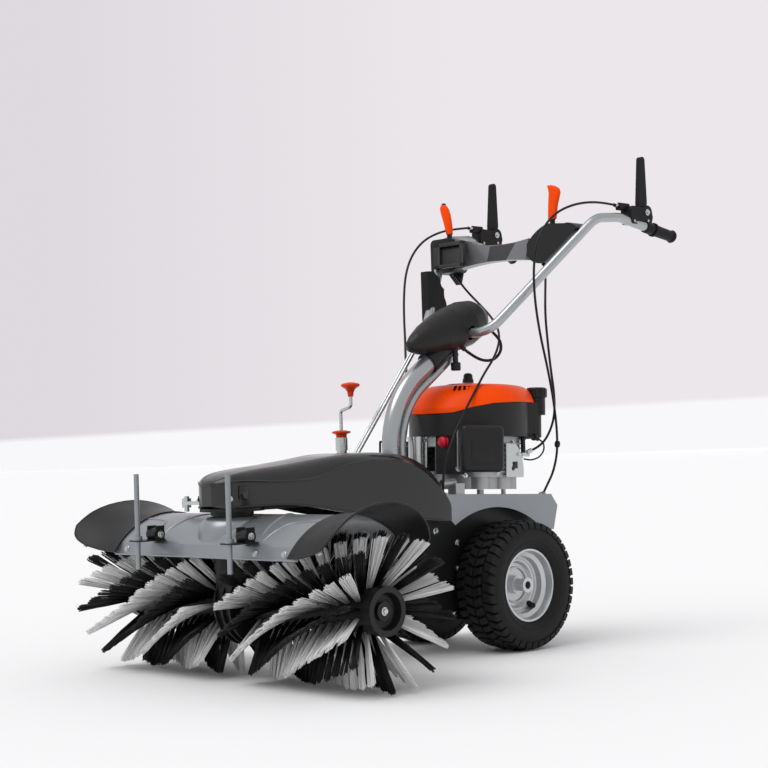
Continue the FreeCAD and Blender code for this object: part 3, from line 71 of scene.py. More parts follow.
SHIFT_CABLE = [(-225, 226, 1004.2), (-196, 214, 982), (-158, 205, 950), (-108, 198, 912), (-55, 184, 874),
               (-4, 156, 835), (40, 108, 795), (72, 50, 752), (92, -12, 710), (108, -62, 668),
               (122, -112, 624), (134, -158, 580), (139, -194, 530), (134, -214, 478), (124, -212, 436),
               (112, -200, 406.4)]
PIVOT_LOOP = [(30, -18, 776), (33, 8, 760), (40, 42, 746), (49, 74, 748), (58, 92, 768), (61, 92, 794),
              (54, 78, 816), (44, 62, 832)]


def m(x, y, z):
    """A place in millimetres from the axle and the floor, as a point in the scene's metres."""
    return Vector((x, y + AXLE_Y, z)) / 1000


# Materials

NOISE_LOW, NOISE_HIGH = 0.3, 0.7
CLOUD_SCALE = 14.0
COAT_ROUGH = 0.08
BUMP_DEPTH = 0.0006


def new_material(name):
    """A material with its node tree and its shader."""
    mat = bpy.data.materials.new(name)
    mat.use_nodes = True
    tree = mat.node_tree
    return mat, tree, tree.nodes["Principled BSDF"]


def spread(tree, source, low, high):
    """A noise value moved into the range from low to high."""
    span = tree.nodes.new("ShaderNodeMapRange")
    span.inputs["From Min"].default_value = NOISE_LOW
    span.inputs["From Max"].default_value = NOISE_HIGH
    span.inputs["To Min"].default_value = low
    span.inputs["To Max"].default_value = high
    tree.links.new(source, span.inputs["Value"])
    return span.outputs["Result"]


def noise(tree, scale, detail=4.0):
    """A noise value fixed to the object."""
    coord = tree.nodes.new("ShaderNodeTexCoord")
    node = tree.nodes.new("ShaderNodeTexNoise")
    node.inputs["Scale"].default_value = scale
    node.inputs["Detail"].default_value = detail
    tree.links.new(coord.outputs["Object"], node.inputs["Vector"])
    return node.outputs["Fac"]


def paint(name, colour, rough, metal=0.0, coat=0.0, grain=0.0, grain_scale=900.0, vary=0.06, tint=0.05,
          per_strand=False, shine=0.5):
    """A surface with a little wander in gloss and tone, by strand where asked, and a fine grain."""
    mat, tree, shader = new_material(name)
    cloud = noise(tree, CLOUD_SCALE)
    tree.links.new(spread(tree, cloud, max(0.02, rough - vary), rough + vary), shader.inputs["Roughness"])
    if per_strand:
        cloud = tree.nodes.new("ShaderNodeNewGeometry").outputs["Random Per Island"]
    mix = tree.nodes.new("ShaderNodeMix")
    mix.data_type = "RGBA"
    mix.inputs["A"].default_value = (*[c * (1 - tint) for c in colour], 1)
    mix.inputs["B"].default_value = (*[min(1.0, c * (1 + tint)) for c in colour], 1)
    tree.links.new(cloud, mix.inputs["Factor"])
    tree.links.new(mix.outputs["Result"], shader.inputs["Base Color"])
    shader.inputs["Metallic"].default_value = metal
    shader.inputs["Coat Weight"].default_value = coat
    shader.inputs["Specular IOR Level"].default_value = shine
    shader.inputs["Coat Roughness"].default_value = COAT_ROUGH
    if grain:
        bump = tree.nodes.new("ShaderNodeBump")
        bump.inputs["Strength"].default_value = grain
        bump.inputs["Distance"].default_value = BUMP_DEPTH
        tree.links.new(noise(tree, grain_scale, 2.0), bump.inputs["Height"])
        tree.links.new(bump.outputs["Normal"], shader.inputs["Normal"])
    mat.diffuse_color = (*colour, 1)
    return mat


MATS = {
    "silver": paint("silver_paint", (0.27, 0.285, 0.305), 0.34, metal=0.55, coat=0.25, grain=0.10),
    "panel": paint("panel_paint", (0.20, 0.20, 0.215), 0.36, metal=0.4, coat=0.2, grain=0.08),
    "stripe": paint("panel_stripe", (0.055, 0.055, 0.06), 0.40, metal=0.3, grain=0.08),
    "tube": paint("tube_paint", (0.40, 0.415, 0.43), 0.26, metal=0.75, coat=0.25, grain=0.05),
    "rim": paint("rim_paint", (0.60, 0.61, 0.62), 0.36, metal=0.75, coat=0.1, vary=0.03),
    "black": paint("black_moulding", (0.013, 0.0125, 0.0135), 0.40, grain=0.25, grain_scale=1400.0,
                   shine=0.27),
    "gloss": paint("black_gloss", (0.012, 0.012, 0.013), 0.20, coat=0.3, grain=0.04, shine=0.35),
    "steel_black": paint("black_powder_coat", (0.010, 0.010, 0.0105), 0.36, grain=0.3, shine=0.25),
    "zinc": paint("zinc_plate", (0.56, 0.585, 0.58), 0.27, metal=1.0, grain=0.06),
    "orange": paint("orange_moulding", (0.95, 0.070, 0.0), 0.34, grain=0.03, shine=0.10),
    "knob": paint("red_orange_knob", (0.70, 0.040, 0.002), 0.32, grain=0.03, shine=0.2),
    "rubber": paint("tyre_rubber", (0.0085, 0.008, 0.0088), 0.60, grain=0.5, grain_scale=700.0, tint=0.2,
                    shine=0.25),
    "grip": paint("grip_rubber", (0.008, 0.0075, 0.008), 0.50, grain=0.4, shine=0.2),
    "cable": paint("cable_jacket", (0.007, 0.007, 0.008), 0.36, grain=0.1, shine=0.25),
    "alloy": paint("die_cast_alloy", (0.42, 0.42, 0.43), 0.42, metal=0.75, grain=0.5, grain_scale=500.0),
    "white_bristle": paint("white_bristle", (0.88, 0.87, 0.85), 0.40, tint=0.22, per_strand=True),
    "black_bristle": paint("black_bristle", (0.006, 0.0055, 0.006), 0.36, tint=0.5, per_strand=True,
                           shine=0.3),
    "red": paint("red_rubber", (0.66, 0.006, 0.030), 0.32),
    # Near-black gloss laid where openings and recesses show only their inside: painted shade
    "opening_shade": paint("painted_opening_shade", (0.004, 0.004, 0.005), 0.12),
}

NODE_MATERIALS = {
    "silver": ["engine_plate", "deck_hood", "guide_rods"],
    "panel": ["cross_panel"],
    "tube": ["handle_tubes", "column", "column_foot"],
    "rim": ["rim_left", "rim_right"],
    "black": ["deck_wings", "blower_housing", "fuel_cap", "recoil_cap", "air_filter", "control_housings",
              "brush_drums", "primer", "pivot_shroud"],
    "gloss": ["belt_cover"],
    "steel_black": ["side_plates", "gearbox", "swivel_beam", "brush_gearbox", "muffler", "muffler_guard",
                    "castor_fork", "rod_plates", "axle_collars", "brush_shaft"],
    "zinc": ["axle", "control_rods", "crank_rod", "castor_leg", "stop_arm", "starter_motor",
             "pivot_barrel", "castor_jacket", "engine_brackets"],
    "orange": ["recoil_cover", "speed_levers"],
    "knob": ["crank_knob"],
    "rubber": ["tyre_left", "tyre_right", "castor_wheel"],
    "grip": ["grips", "switch_box", "lever_clamps", "hand_levers"],
    "cable": ["clutch_cable", "speed_cable", "drive_cable", "shift_cable", "pivot_loop"],
    "white_bristle": ["brush_rows_white"],
    "black_bristle": ["brush_rows_black"],
    "alloy": ["engine_block", "engine_feet", "carburettor"],
}


PRIMER_FRONT = m(0, -127.5, 0).y
PRIMER_LOW = 0.505
LUG_FRONT = m(0, -120, 0).y
LUG_HIGH = 0.445
CASTOR_HUB = m(0, -236, 60)
CASTOR_HUB_R = 0.041


def dress_nodes():
    """Each node's material, and a second one on the parts of three nodes that differ."""
    for key, names in NODE_MATERIALS.items():
        for name in names:
            mesh = NODES[name].data
            mesh.materials.clear()
            mesh.materials.append(MATS[key])
    part_colour("primer", "red", lambda c: c.y < PRIMER_FRONT and c.z > PRIMER_LOW)
    part_colour("engine_brackets", "alloy", lambda c: c.y < LUG_FRONT and c.z < LUG_HIGH)
    part_colour("castor_wheel", "rim",
                lambda c: math.hypot(c.y - CASTOR_HUB.y, c.z - CASTOR_HUB.z) < CASTOR_HUB_R)


def part_colour(name, key, chosen):
    """A second material on those faces of a node whose centre is chosen."""
    mesh = NODES[name].data
    mesh.materials.append(MATS[key])
    for face in mesh.polygons:
        if chosen(face.center):
            face.material_index = 1


# Mesh building

def place_mesh(name, mesh, key, body, sharp=35.0):
    """An object from a mesh, with its material, sharp edges by angle and body."""
    mesh.materials.append(MATS[key])
    mesh.shade_smooth()
    mesh.set_sharp_from_angle(angle=math.radians(sharp))
    obj = bpy.data.objects.new(name, mesh)
    bpy.context.scene.collection.objects.link(obj)
    if body:
        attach(obj, body)
    return obj


def finish_bm(name, bm, key, body, sharp=35.0):
    """An object from a finished bmesh, which is freed, with its faces turned outward."""
    bmesh.ops.recalc_face_normals(bm, faces=bm.faces)
    mesh = bpy.data.meshes.new(name)
    bm.to_mesh(mesh)
    bm.free()
    return place_mesh(name, mesh, key, body, sharp)


def frame_of(direction):
    """A direction made one long, and two more that are square to it."""
    d = Vector(direction).normalized()
    side = Vector((0, 0, 1)) if abs(d.z) < 0.9 else Vector((1, 0, 0))
    u = d.cross(side).normalized()
    return d, u, d.cross(u)


def skin(bm, rings, capped=False):
    """Faces from each ring of vertices to the next, where a ring may be a single point."""
    sides = max(len(ring) for ring in rings)
    for low, high in zip(rings, rings[1:]):
        for k in range(sides):
            n = (k + 1) % sides
            corners = [low[k % len(low)], low[n % len(low)], high[n % len(high)], high[k % len(high)]]
            bm.faces.new(list(dict.fromkeys(corners)))
    if capped:
        bm.faces.new(rings[0][::-1])
        bm.faces.new(rings[-1])


def lathe(bm, profile, place, direction, sides, closed=False):
    """A turned shape from (along, radius) points in millimetres about a line through a place."""
    d, u, v = frame_of(direction)
    rings = []
    for along, r in profile:
        middle = m(*place) + d * along / 1000
        if r == 0:
            rings.append([bm.verts.new(middle)])
            continue
        ring = []
        for k in range(sides):
            a = 2 * math.pi * k / sides
            ring.append(bm.verts.new(middle + (u * math.cos(a) + v * math.sin(a)) * r / 1000))
        rings.append(ring)
    skin(bm, rings + rings[:1] if closed else rings)


# A bolt's steps in millimetres, and its radii and head height as shares of its size
SINK = -0.6
WASHER_EDGE, WASHER_T = 1.0, 1.4
WASHER_R, WASHER_TOP_R = 1.45, 1.35
HEAD_START = 1.2
HEAD_HEIGHT = 0.75
CHAMFER_START, CHAMFER_R = 0.8, 0.84


def bolt(bm, place, direction, r, washer=True):
    """A hexagon head with a chamfer, on a washer or bare, that starts just inside its surface."""
    start = SINK
    if washer:
        disc = [(SINK, 0), (SINK, r * WASHER_R), (WASHER_EDGE, r * WASHER_R), (WASHER_T, r * WASHER_TOP_R),
                (WASHER_T, 0)]
        lathe(bm, disc, place, direction, 20)
        start = HEAD_START
    h = r * HEAD_HEIGHT
    head = [(start, 0), (start, r), (start + h * CHAMFER_START, r), (start + h, r * CHAMFER_R),
            (start + h, 0)]
    lathe(bm, head, place, direction, 6)


def bolt_circle(bm, middle, side, ring_r, count, r, first=0):
    """Bare bolts that face out to one side, evenly round a circle from an angle in degrees."""
    x, y, z = middle
    for k in range(count):
        a = math.radians(360 / count * k + first)
        bolt(bm, (x, y + ring_r * math.sin(a), z + ring_r * math.cos(a)), (side, 0, 0), r, washer=False)


def block(bm, corners, bevel, steps=2):
    """A box between two corners (x0, y0, z0, x1, y1, z1) with its edges broken."""
    x0, y0, z0, x1, y1, z1 = corners
    middle = m((x0 + x1) / 2, (y0 + y1) / 2, (z0 + z1) / 2)
    size = Vector((x1 - x0, y1 - y0, z1 - z0)) / 1000
    shape = Matrix.Translation(middle) @ Matrix.Diagonal((*size, 1))
    made = bmesh.ops.create_cube(bm, size=1.0, matrix=shape)
    edges = list(dict.fromkeys(e for v in made["verts"] for e in v.link_edges))
    bmesh.ops.bevel(bm, geom=edges, offset=bevel / 1000, segments=steps, profile=0.5, affect="EDGES")


def tube(bm, points, radii, sides):
    """A closed round bar through the scene's points, with one radius in millimetres for each."""
    rings = []
    u = None
    for i, p in enumerate(points):
        d = (points[min(i + 1, len(points) - 1)] - points[max(i - 1, 0)]).normalized()
        u = frame_of(d)[1] if u is None else (u - d * u.dot(d)).normalized()
        v = d.cross(u)
        r = radii[i] / 1000
        ring = []
        for k in range(sides):
            a = 2 * math.pi * k / sides
            ring.append(bm.verts.new(p + (u * math.cos(a) + v * math.sin(a)) * r))
        rings.append(ring)
    skin(bm, rings, capped=True)


def tapered(r, count, tip, run):
    """One radius for each of a bead's points, which swell from a thin tip and thin again at the end."""
    return [r * min(1.0, tip + i / run, tip + (count - 1 - i) / run) for i in range(count)]


def remap(bm, change):
    """Every vertex moved from its place in millimetres to the one that a function gives for it."""
    for vert in bm.verts:
        p = vert.co
        vert.co = m(*change(p.x * 1000, p.y * 1000 - AXLE_Y, p.z * 1000))


def smooth_line(points, steps=8):
    """Points on a smooth line through the scene's points."""
    pts = [2 * points[0] - points[1], *points, 2 * points[-1] - points[-2]]
    line = []
    for a, b, c, d in zip(pts, pts[1:], pts[2:], pts[3:]):
        for k in range(steps):
            t = k / steps
            line.append(0.5 * (2 * b + (c - a) * t + (2 * a - 5 * b + 4 * c - d) * t * t
                               + (3 * b - a - 3 * c + d) * t ** 3))
    return [*line, points[-1]]


# Brush

# Rows twist along the brush, tufts sit along a row, and a tuft's strands spread from root to tip
ROW_PAIRS = 8
ROW_TWIST = 78.0
TUFTS = 12
STRANDS = 48
X_ROOT, REACH, LEAN_OUT, SPLAY = 50.0, 368.0, 26.0, 52.0
SPLAY_FROM = 0.6
ROOT_ALONG, ROOT_ACROSS = 0.015, 2.2
TIP_ALONG, TIP_ACROSS = 0.0265, 6.5
TUFT_SHORT, STRAND_SHORT, EDGE_SHORT = 5.0, 8.0, 2.5
TUFT_DRIFT = 0.004
SWAY = 0.0011
STRAND_RADII = (0.00125, 0.00125, 0.0010)
END_PLATE_X, END_BOLT_X = 427.0, 436.0
END_SCREWS_R = 33


def strand_lines(lead, rng):
    """Root, middle and tip of every bristle of one colour, tuft by tuft along the helical rows."""
    n = STRANDS
    lines = []
    for side in (1, -1):
        for i in range(ROW_PAIRS):
            start = 360 / ROW_PAIRS * (i + lead)
            for k in range(TUFTS):
                along = rng.uniform(-1, 1, n)
                across = rng.uniform(-1, 1, n) * np.sqrt(1 - 0.5 * along ** 2)
                centre = (k + 0.5) / TUFTS + rng.uniform(-TUFT_DRIFT, TUFT_DRIFT)
                tip_r = (BRUSH_R - rng.uniform(0, TUFT_SHORT) - rng.uniform(0, STRAND_SHORT, n)
                         - EDGE_SHORT * along ** 2)
                root = strand_point(side, start, centre + ROOT_ALONG * along, ROOT_ACROSS * across,
                                    np.full(n, CORE_R), 0.0)
                tip = strand_point(side, start, centre + TIP_ALONG * along, TIP_ACROSS * across, tip_r, 1.0)
                sway = rng.normal(0, SWAY, (n, 3))
                lines.append(np.stack([root, root * 0.47 + tip * 0.53 + sway, tip], axis=1))
    return np.concatenate(lines)


def strand_point(side, start, t, shift, r, out):
    """Points at a share t of the way along a row, at radius r, of which the tips (out = 1) lean outward."""
    t = np.clip(t, 0, 1)
    angle = np.radians(start + side * ROW_TWIST * t) + shift / r
    splay = SPLAY * np.maximum(0, t - SPLAY_FROM) / (1 - SPLAY_FROM)
    x = X_ROOT + REACH * t + out * (LEAN_OUT * t + splay)
    y = BRUSH_Y + AXLE_Y + r * np.sin(angle)
    return np.stack([side * x, y, BRUSH_Z + r * np.cos(angle)], axis=1) / 1000


def make_bristles(name, lead, key, node, seed):
    """Every bristle as a three-sided strand that thins a little to its tip."""
    lines = strand_lines(lead, np.random.default_rng(seed))
    count = len(lines)
    d = lines[:, 2] - lines[:, 0]
    d /= np.linalg.norm(d, axis=1, keepdims=True)
    u = np.cross(d, np.array([1.0, 0.0, 0.0]))
    u /= np.linalg.norm(u, axis=1, keepdims=True)
    v = np.cross(d, u)
    verts = np.empty((count, 3, 3, 3))
    for ring, r in enumerate(STRAND_RADII):
        for k in range(3):
            a = 2 * math.pi * k / 3
            verts[:, ring, k] = lines[:, ring] + r * (math.cos(a) * u + math.sin(a) * v)
    quads = []
    for low in (0, 3):
        for k in range(3):
            n = (k + 1) % 3
            quads.append((low + k, low + n, low + 3 + n, low + 3 + k))
    base = 9 * np.arange(count)[:, None, None]
    faces = (np.array(quads)[None] + base).reshape(-1, 4).tolist()
    faces += (np.array([(6, 7, 8), (2, 1, 0)])[None] + base).reshape(-1, 3).tolist()
    mesh = bpy.data.meshes.new(name)
    mesh.from_pydata(verts.reshape(-1, 3).tolist(), [], faces)
    obj = place_mesh(name, mesh, key, "brush", sharp=180.0)
    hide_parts(node)


def make_brush():
    """The bristles of both colours, which replace the solid rows, and a plate and bolts on each end."""
    make_bristles("bristles_white", 0.0, "white_bristle", "brush_rows_white", 7)
    make_bristles("bristles_black", 0.5, "black_bristle", "brush_rows_black", 8)
    bm = bmesh.new()
    plate = [(0, 28), (0, 40), (2, 40.5), (3, 38), (3, 30), (2, 28)]
    for side in (1, -1):
        end = (side * END_PLATE_X, BRUSH_Y, BRUSH_Z)
        lathe(bm, plate, end, (side, 0, 0), 40, closed=True)
        bolt_circle(bm, end, side, END_SCREWS_R, 3, 3.5)
    finish_bm("brush_end_plates", bm, "steel_black", "brush")
    bm = bmesh.new()
    for side in (1, -1):
        bolt(bm, (side * END_BOLT_X, BRUSH_Y, BRUSH_Z), (side, 0, 0), 6.5)
    finish_bm("brush_end_bolts", bm, "zinc", "brush")


# Wheels

LUG_COUNT = 20
# A step round a ring holds two lugs, each with its start and end as shares of the step
LUG_SPANS = ((-0.02, 0.34), (0.46, 0.84))
LUG_GAP = 0.8
LUG_ROOT, LUG_CHAMFER = 5, 3.0
SHOULDER_X = 50
# Each ring of lugs by its two edges across the tyre, root and tip radius, phase in steps and skew in degrees
LUG_RINGS = [(-60.0, -29.5, 149.0, 161.0, 0.0, 2.5), (-27.5, -1.5, 155.0, 165.0, 0.35, -3.0),
             (1.5, 27.5, 155.0, 165.0, 0.65, 3.0), (29.5, 60.0, 149.0, 161.0, 0.0, -2.5)]
# The tyre's outer half from the rim's edge to the tread, as (across, radius)
SIDEWALL = [(40.0, 91.0), (46.0, 92.5), (53.0, 98.0), (59.0, 106.0), (60.5, 109.0), (61.6, 109.6),
            (61.8, 111.5), (61.0, 112.5), (62.6, 118.0), (63.3, 127.0), (62.4, 136.0), (60.4, 144.0),
            (57.5, 149.5), (50.0, 153.0), (30.0, 155.4), (12.0, 156.0)]
VALVE_CAP = [(-8, 0), (-8, 9), (-2, 8.5), (2, 6), (8, 5.4), (9, 6.6), (15, 6.6), (16, 5.4), (16, 0)]
HUB_CAP = [(0, 0), (0, 8.5), (1.5, 9), (6, 8), (8, 5), (8, 0)]
HUB_CAP_X = 203


def tread_block(bm, side, along, turn, r0, r1, skew):
    """One lug with a chamfered top, which leans with its ring's skew and widens toward a shoulder."""
    def point(a, t, r):
        t = t + math.radians(skew) * (a - along[0]) / (along[1] - along[0])
        return bm.verts.new(m(side * (WHEEL_X + a), r * math.sin(t), TYRE_R + r * math.cos(t)))
    rings = []
    for grow, r, drop in ((0.9, r0 - LUG_ROOT, 3.0), (0.0, r1 - LUG_CHAMFER, 0.0), (-1.8, r1, -3.5)):
        a0, a1 = along[0] + LUG_GAP - grow, along[1] - LUG_GAP + grow
        if along[0] < -SHOULDER_X:
            a0 -= drop
        if along[1] > SHOULDER_X:
            a1 += drop
        t0, t1 = turn[0] - grow / r, turn[1] + grow / r
        rings.append([point(a0, t0, r), point(a1, t0, r), point(a1, t1, r), point(a0, t1, r)])
    skin(bm, rings, capped=True)


def make_wheel(name, side):
    """A tyre with its lugs, which replaces the plain one, a valve, a hub cap and the rim's two beads."""
    bm = bmesh.new()
    centre = (side * WHEEL_X, 0, TYRE_R)
    out = (side, 0, 0)
    lathe(bm, SIDEWALL + [(-a, r) for a, r in reversed(SIDEWALL)], centre, out, 120, closed=True)
    step = 2 * math.pi / LUG_COUNT
    for a0, a1, root, tip, phase, skew in LUG_RINGS:
        for i in range(LUG_COUNT):
            for t0, t1 in LUG_SPANS:
                turn = (step * (i + phase + t0), step * (i + phase + t1))
                tread_block(bm, side, (a0, a1), turn, root, tip, skew)
    tyre = finish_bm("tyre_tread_" + name, bm, "rubber", "wheel_" + name, 30.0)
    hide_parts("tyre_" + name)
    bm = bmesh.new()
    lathe(bm, VALVE_CAP, (side * 176.0, 41.0, 111.0), (side, -0.25, -0.12), 20)
    lathe(bm, HUB_CAP, (side * HUB_CAP_X, 0, TYRE_R), out, 24)
    finish_bm("wheel_fittings_" + name, bm, "grip", "wheel_" + name)
    bm = bmesh.new()
    for r, x in ((68.5, 171.0), (46.0, 163.5)):
        bead = [(0, r), (1.6, r - 0.6), (2.2, r - 2), (1.6, r - 3.4), (0, r - 4)]
        lathe(bm, bead, (side * x, 0, TYRE_R), out, 64)
    finish_bm("rim_beads_" + name, bm, "rim", "wheel_" + name)


# Wings over the brush's ends

# Each station by its x and its front and rear angle back from the top
WING_STATIONS = [(318, -54, 56), (345, -54, 55), (372, -54, 53), (400, -53.5, 51), (422, -53, 48),
                 (440, -52, 38), (455, -50.5, 16), (467, -48, -2), (477, -43, -30)]
WING_T = 3.5
WING_RISE = 41.0
WING_CLEAR = 0.3
WING_ROWS = 44
WING_BEAD_R = 2.6


def wing_lift(deg):
    """The share of the wing's full rise at an angle back from the top: less in front, none at the rear."""
    front = 0.76 + 0.24 * min(1.0, max(0.0, (-10 - deg) / 35))
    fade = min(1.0, max(0.0, (deg - 24) / 24))
    return front * math.cos(math.radians(90 * fade))


def wing_point(station, part, grow):
    """A point about the brush's middle, a part of the way round a station and grown off the inside."""
    x, front, rear = station
    deg = front + (rear - front) * part
    out = (x - WING_STATIONS[0][0]) / (WING_STATIONS[-1][0] - WING_STATIONS[0][0])
    r = HOOD_R + WING_CLEAR + grow + WING_RISE * max(0.0, out) ** 1.8 * wing_lift(deg)
    a = math.radians(deg)
    return Vector((x, r * math.sin(a), r * math.cos(a)))


def border(grid):
    """The outline of a grid of vertices, once round."""
    first = [row[0] for row in grid]
    last = [row[-1] for row in grid[-2::-1]]
    return [*first, *grid[-1][1:], *last, *grid[0][-2:0:-1]]


def wing_place(side, p):
    """A point about the brush's middle as one in the scene, on the left (1) or the right (-1)."""
    return m(side * p.x, BRUSH_Y + p.y, BRUSH_Z + p.z)


def make_wings():
    """Both wings as shells with a bead round the edge, which replace the plainer ones."""
    stations = smooth_line([Vector(s) for s in WING_STATIONS], 5)
    parts = [j / WING_ROWS for j in range(WING_ROWS + 1)]
    bead_start = 20
    bm = bmesh.new()
    for side in (1, -1):
        grids = []
        for grow in (0.0, WING_T):
            grid = []
            for s in stations:
                line = [wing_point(s, part, grow) for part in parts]
                grid.append([bm.verts.new(wing_place(side, p)) for p in line])
            grids.append(grid)
        for grid in grids:
            for a, b in zip(grid, grid[1:]):
                for j in range(WING_ROWS):
                    bm.faces.new((a[j], a[j + 1], b[j + 1], b[j]))
        skin(bm, [border(grid) for grid in grids])
        edge = [wing_point(s, 0, WING_T / 2) for s in stations]
        edge += [wing_point(stations[-1], part, WING_T / 2) for part in parts[1:]]
        edge += [wing_point(s, 1, WING_T / 2) for s in stations[-2:bead_start:-1]]
        tube(bm, [wing_place(side, p) for p in edge], [WING_BEAD_R] * len(edge), 8)
    wings = finish_bm("wing_shells", bm, "black", "deck", 50.0)
    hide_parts("deck_wings")


# Deck

# Ribs on each half of the hood, as (x, angle back from the top)
RIBS = [[(181.6, -38), (170.5, -25.4), (154.7, -12), (120, 4), (96, 22)],
        [(200, -41), (213.9, -31.3), (232.8, -22.5), (292.4, -19.4), (330, -19)]]
REAR_BEAD_DEG = 56.5
COLLAR = [(322, 53), (322, 82), (340, 81.5), (358, 78), (370, 71), (377, 62), (379, 56), (378, 53)]
SWIVEL_Y = -785
GEARBOX_BOLTS_R = 78


def deck_point(x, deg, proud):
    """A point on the hood's curve, at an angle back from its top and proud of it by so much."""
    a = math.radians(deg)
    r = HOOD_R + proud
    return m(x, BRUSH_Y + r * math.sin(a), BRUSH_Z + r * math.cos(a))


def wing_bolt(x):
    """A place on the underside of a wing's front rim, with the way out of it."""
    p = wing_point((abs(x), -53.0, 40.0), 0.0, 0.0)
    return (math.copysign(p.x, x), BRUSH_Y + p.y + 6, BRUSH_Z + p.z - 2), (0, -0.6, -0.8)


def make_deck():
    """The wings, and on the hood its ribs, bolts and the collar round the swivel."""
    make_wings()
    bm = bmesh.new()
    for side in (1, -1):
        for rib in RIBS:
            line = smooth_line([deck_point(side * x, deg, -0.8) for x, deg in rib])
            tube(bm, line, tapered(3.4, len(line), 0.35, 6), 10)
        rear = [deck_point(side * x, REAR_BEAD_DEG, 0.5) for x in (10, 100, 200, 330)]
        tube(bm, rear, [2.6] * len(rear), 10)
    finish_bm("hood_ribs", bm, "silver", "deck")
    bm = bmesh.new()
    for x in (-385, -289, 192, 290):
        bolt(bm, (x, -878.3, 304), (0, -1, 0.33), 5.2)
    for side in (1, -1):
        for x, out in ((146.5, -1), (185.5, 1)):
            bolt(bm, (side * x, -882.5, 341), (side * out, 0, 0), 6.0)
        for x in (372, 430):
            place, out = wing_bolt(side * x)
            bolt(bm, place, out, 4.5)
    finish_bm("deck_bolts", bm, "zinc", "deck")
    bm = bmesh.new()
    for side in (1, -1):
        bolt_circle(bm, (side * 30.0, BRUSH_Y, BRUSH_Z), side, GEARBOX_BOLTS_R, 6, 5.0, 30)
    finish_bm("brush_gearbox_bolts", bm, "zinc", "deck")
    bm = bmesh.new()
    lathe(bm, COLLAR, (0, SWIVEL_Y, 0), (0, 0, 1), 72, closed=True)
    finish_bm("swivel_collar", bm, "silver", "deck")


# Belt cover

COVER_SHOULDER = [(20, -857.5, 452), (45, -845, 457), (66, -822, 460), (76.3, -785, 459.5),
                  (82.3, -700, 456), (88.3, -620, 458), (91.5, -575, 468), (98.0, -510, 488.5),
                  (106.5, -430, 497.5)]
COVER_HEM = [(24, -856.5, 404), (47, -844.5, 402), (68, -819, 402), (77.4, -777, 402), (84.6, -680, 401),
             (90.6, -590, 391), (99.4, -505, 375), (108.4, -420, 363), (120.4, -330, 352),
             (127.3, -268, 345), (130.2, -224, 342)]


def make_cover():
    """Beads along the cover's shoulders and hem, and on each side of its nose a bolt and a dark block of
    painted shade in a recess.
    """
    bm = bmesh.new()
    for side in (1, -1):
        for line, r in ((COVER_SHOULDER, 2.6), (COVER_HEM, 3.0)):
            points = smooth_line([m(side * x, y, z) for x, y, z in line], 6)
            tube(bm, points, tapered(r, len(points), 0.3, 8), 10)
    finish_bm("cover_beads", bm, "gloss", "frame")
    # Dark blocks of painted shade where each side of the nose is recessed
    bm = bmesh.new()
    for side in (1, -1):
        x0, x1 = sorted((side * 71, side * 77.4))
        block(bm, (x0, -822, 418, x1, -800, 450), 2.0)
    finish_bm("cover_recess_shade", bm, "opening_shade", "frame")
    bm = bmesh.new()
    for side in (1, -1):
        bolt(bm, (side * 59, -837, 421), (side * 0.85, -0.5, 0), 4.5)
    finish_bm("cover_bolts", bm, "zinc", "frame")


# Chassis

SIDE_PLATE_X = 86
SIDE_BOLTS = [(-127, 277), (-130, 214), (-147, 100), (-205, 312), (-300, 200), (-300, 350), (60, 130)]
# The apron's outline from the side, as (y, z)
APRON = [(112, 384), (112, 236), (150, 236), (190, 280), (195, 300), (186, 320), (150, 348), (124, 384)]
APRON_HALF = 80.5
DRIVE_BOLTS_R = 48


def make_chassis():
    """Bolts on the side plates, swivel beam, engine plate and gearbox, and the apron behind the gearbox."""
    bm = bmesh.new()
    for side in (1, -1):
        for y, z in SIDE_BOLTS:
            bolt(bm, (side * SIDE_PLATE_X, y, z), (side, 0, 0), 6.0)
    for x in (-30, 30):
        for y in (-292, -228):
            bolt(bm, (x, y, 411), (0, 0, 1), 5.5)
    for x, y in ((108, -186), (-108, -186), (108, 176), (-108, 176)):
        bolt(bm, (x, y, PLATE_Z - y * PLATE_SLOPE), (0, 0, 1), 5.0)
    finish_bm("chassis_bolts", bm, "zinc", "frame")
    bm = bmesh.new()
    ends = [[bm.verts.new(m(x, y, z)) for y, z in APRON] for x in (APRON_HALF, -APRON_HALF)]
    skin(bm, ends, capped=True)
    bmesh.ops.bevel(bm, geom=list(bm.edges), offset=0.003, segments=2, profile=0.5, affect="EDGES")
    finish_bm("rear_apron", bm, "steel_black", "frame")
    bm = bmesh.new()
    for side in (1, -1):
        bolt_circle(bm, (side * 60, 0, TYRE_R), side, DRIVE_BOLTS_R, 6, 4.5)
    finish_bm("gearbox_bolts", bm, "zinc", "frame")


# Engine

PITCH = math.radians(2.2)
ENGINE_Y = 12.0
# The line where the orange cover meets the black housing, as (y, z) before the engine leans
PARTING = [(-200, 601), (-165, 601), (-128, 605), (-95, 619), (-50, 629), (20, 634), (110, 637), (260, 638)]
PARTING_GAP = 0.4
DISC_R = 158.5
CORNER_REACH, CORNER_AT, CORNER_SPREAD = 19.0, math.radians(34), math.radians(19)
DOME_TOP, DOME_EDGE, EDGE_RISE = 684.0, 616.0, 2.0
FRONT_POWER, REAR_MORE = 4.6, 9.0
DOME_LEVELS = [0.0, 0.2, 0.4, 0.5, 0.6, 0.68, 0.75, 0.81, 0.86, 0.9, 0.93, 0.955, 0.975, 0.99, 1.0]
SKIRT_LEVELS = [1.001, 0.97]
DOME_SIDES = 144
# A slot's corners as (radius, half width, height), how far it goes into the dome and out of it, and its faces
SLOT_CORNERS = ((127, 3.2, 663.6), (127, -3.2, 663.6), (111, -3.2, 674.6), (111, 3.2, 674.6))
SLOT_LIFTS = (-1.0, 1.4)
SLOT_FACES = ((1, 3, 5, 7), (0, 6, 4, 2), (0, 2, 3, 1), (2, 4, 5, 3), (4, 6, 7, 5), (6, 0, 1, 7))


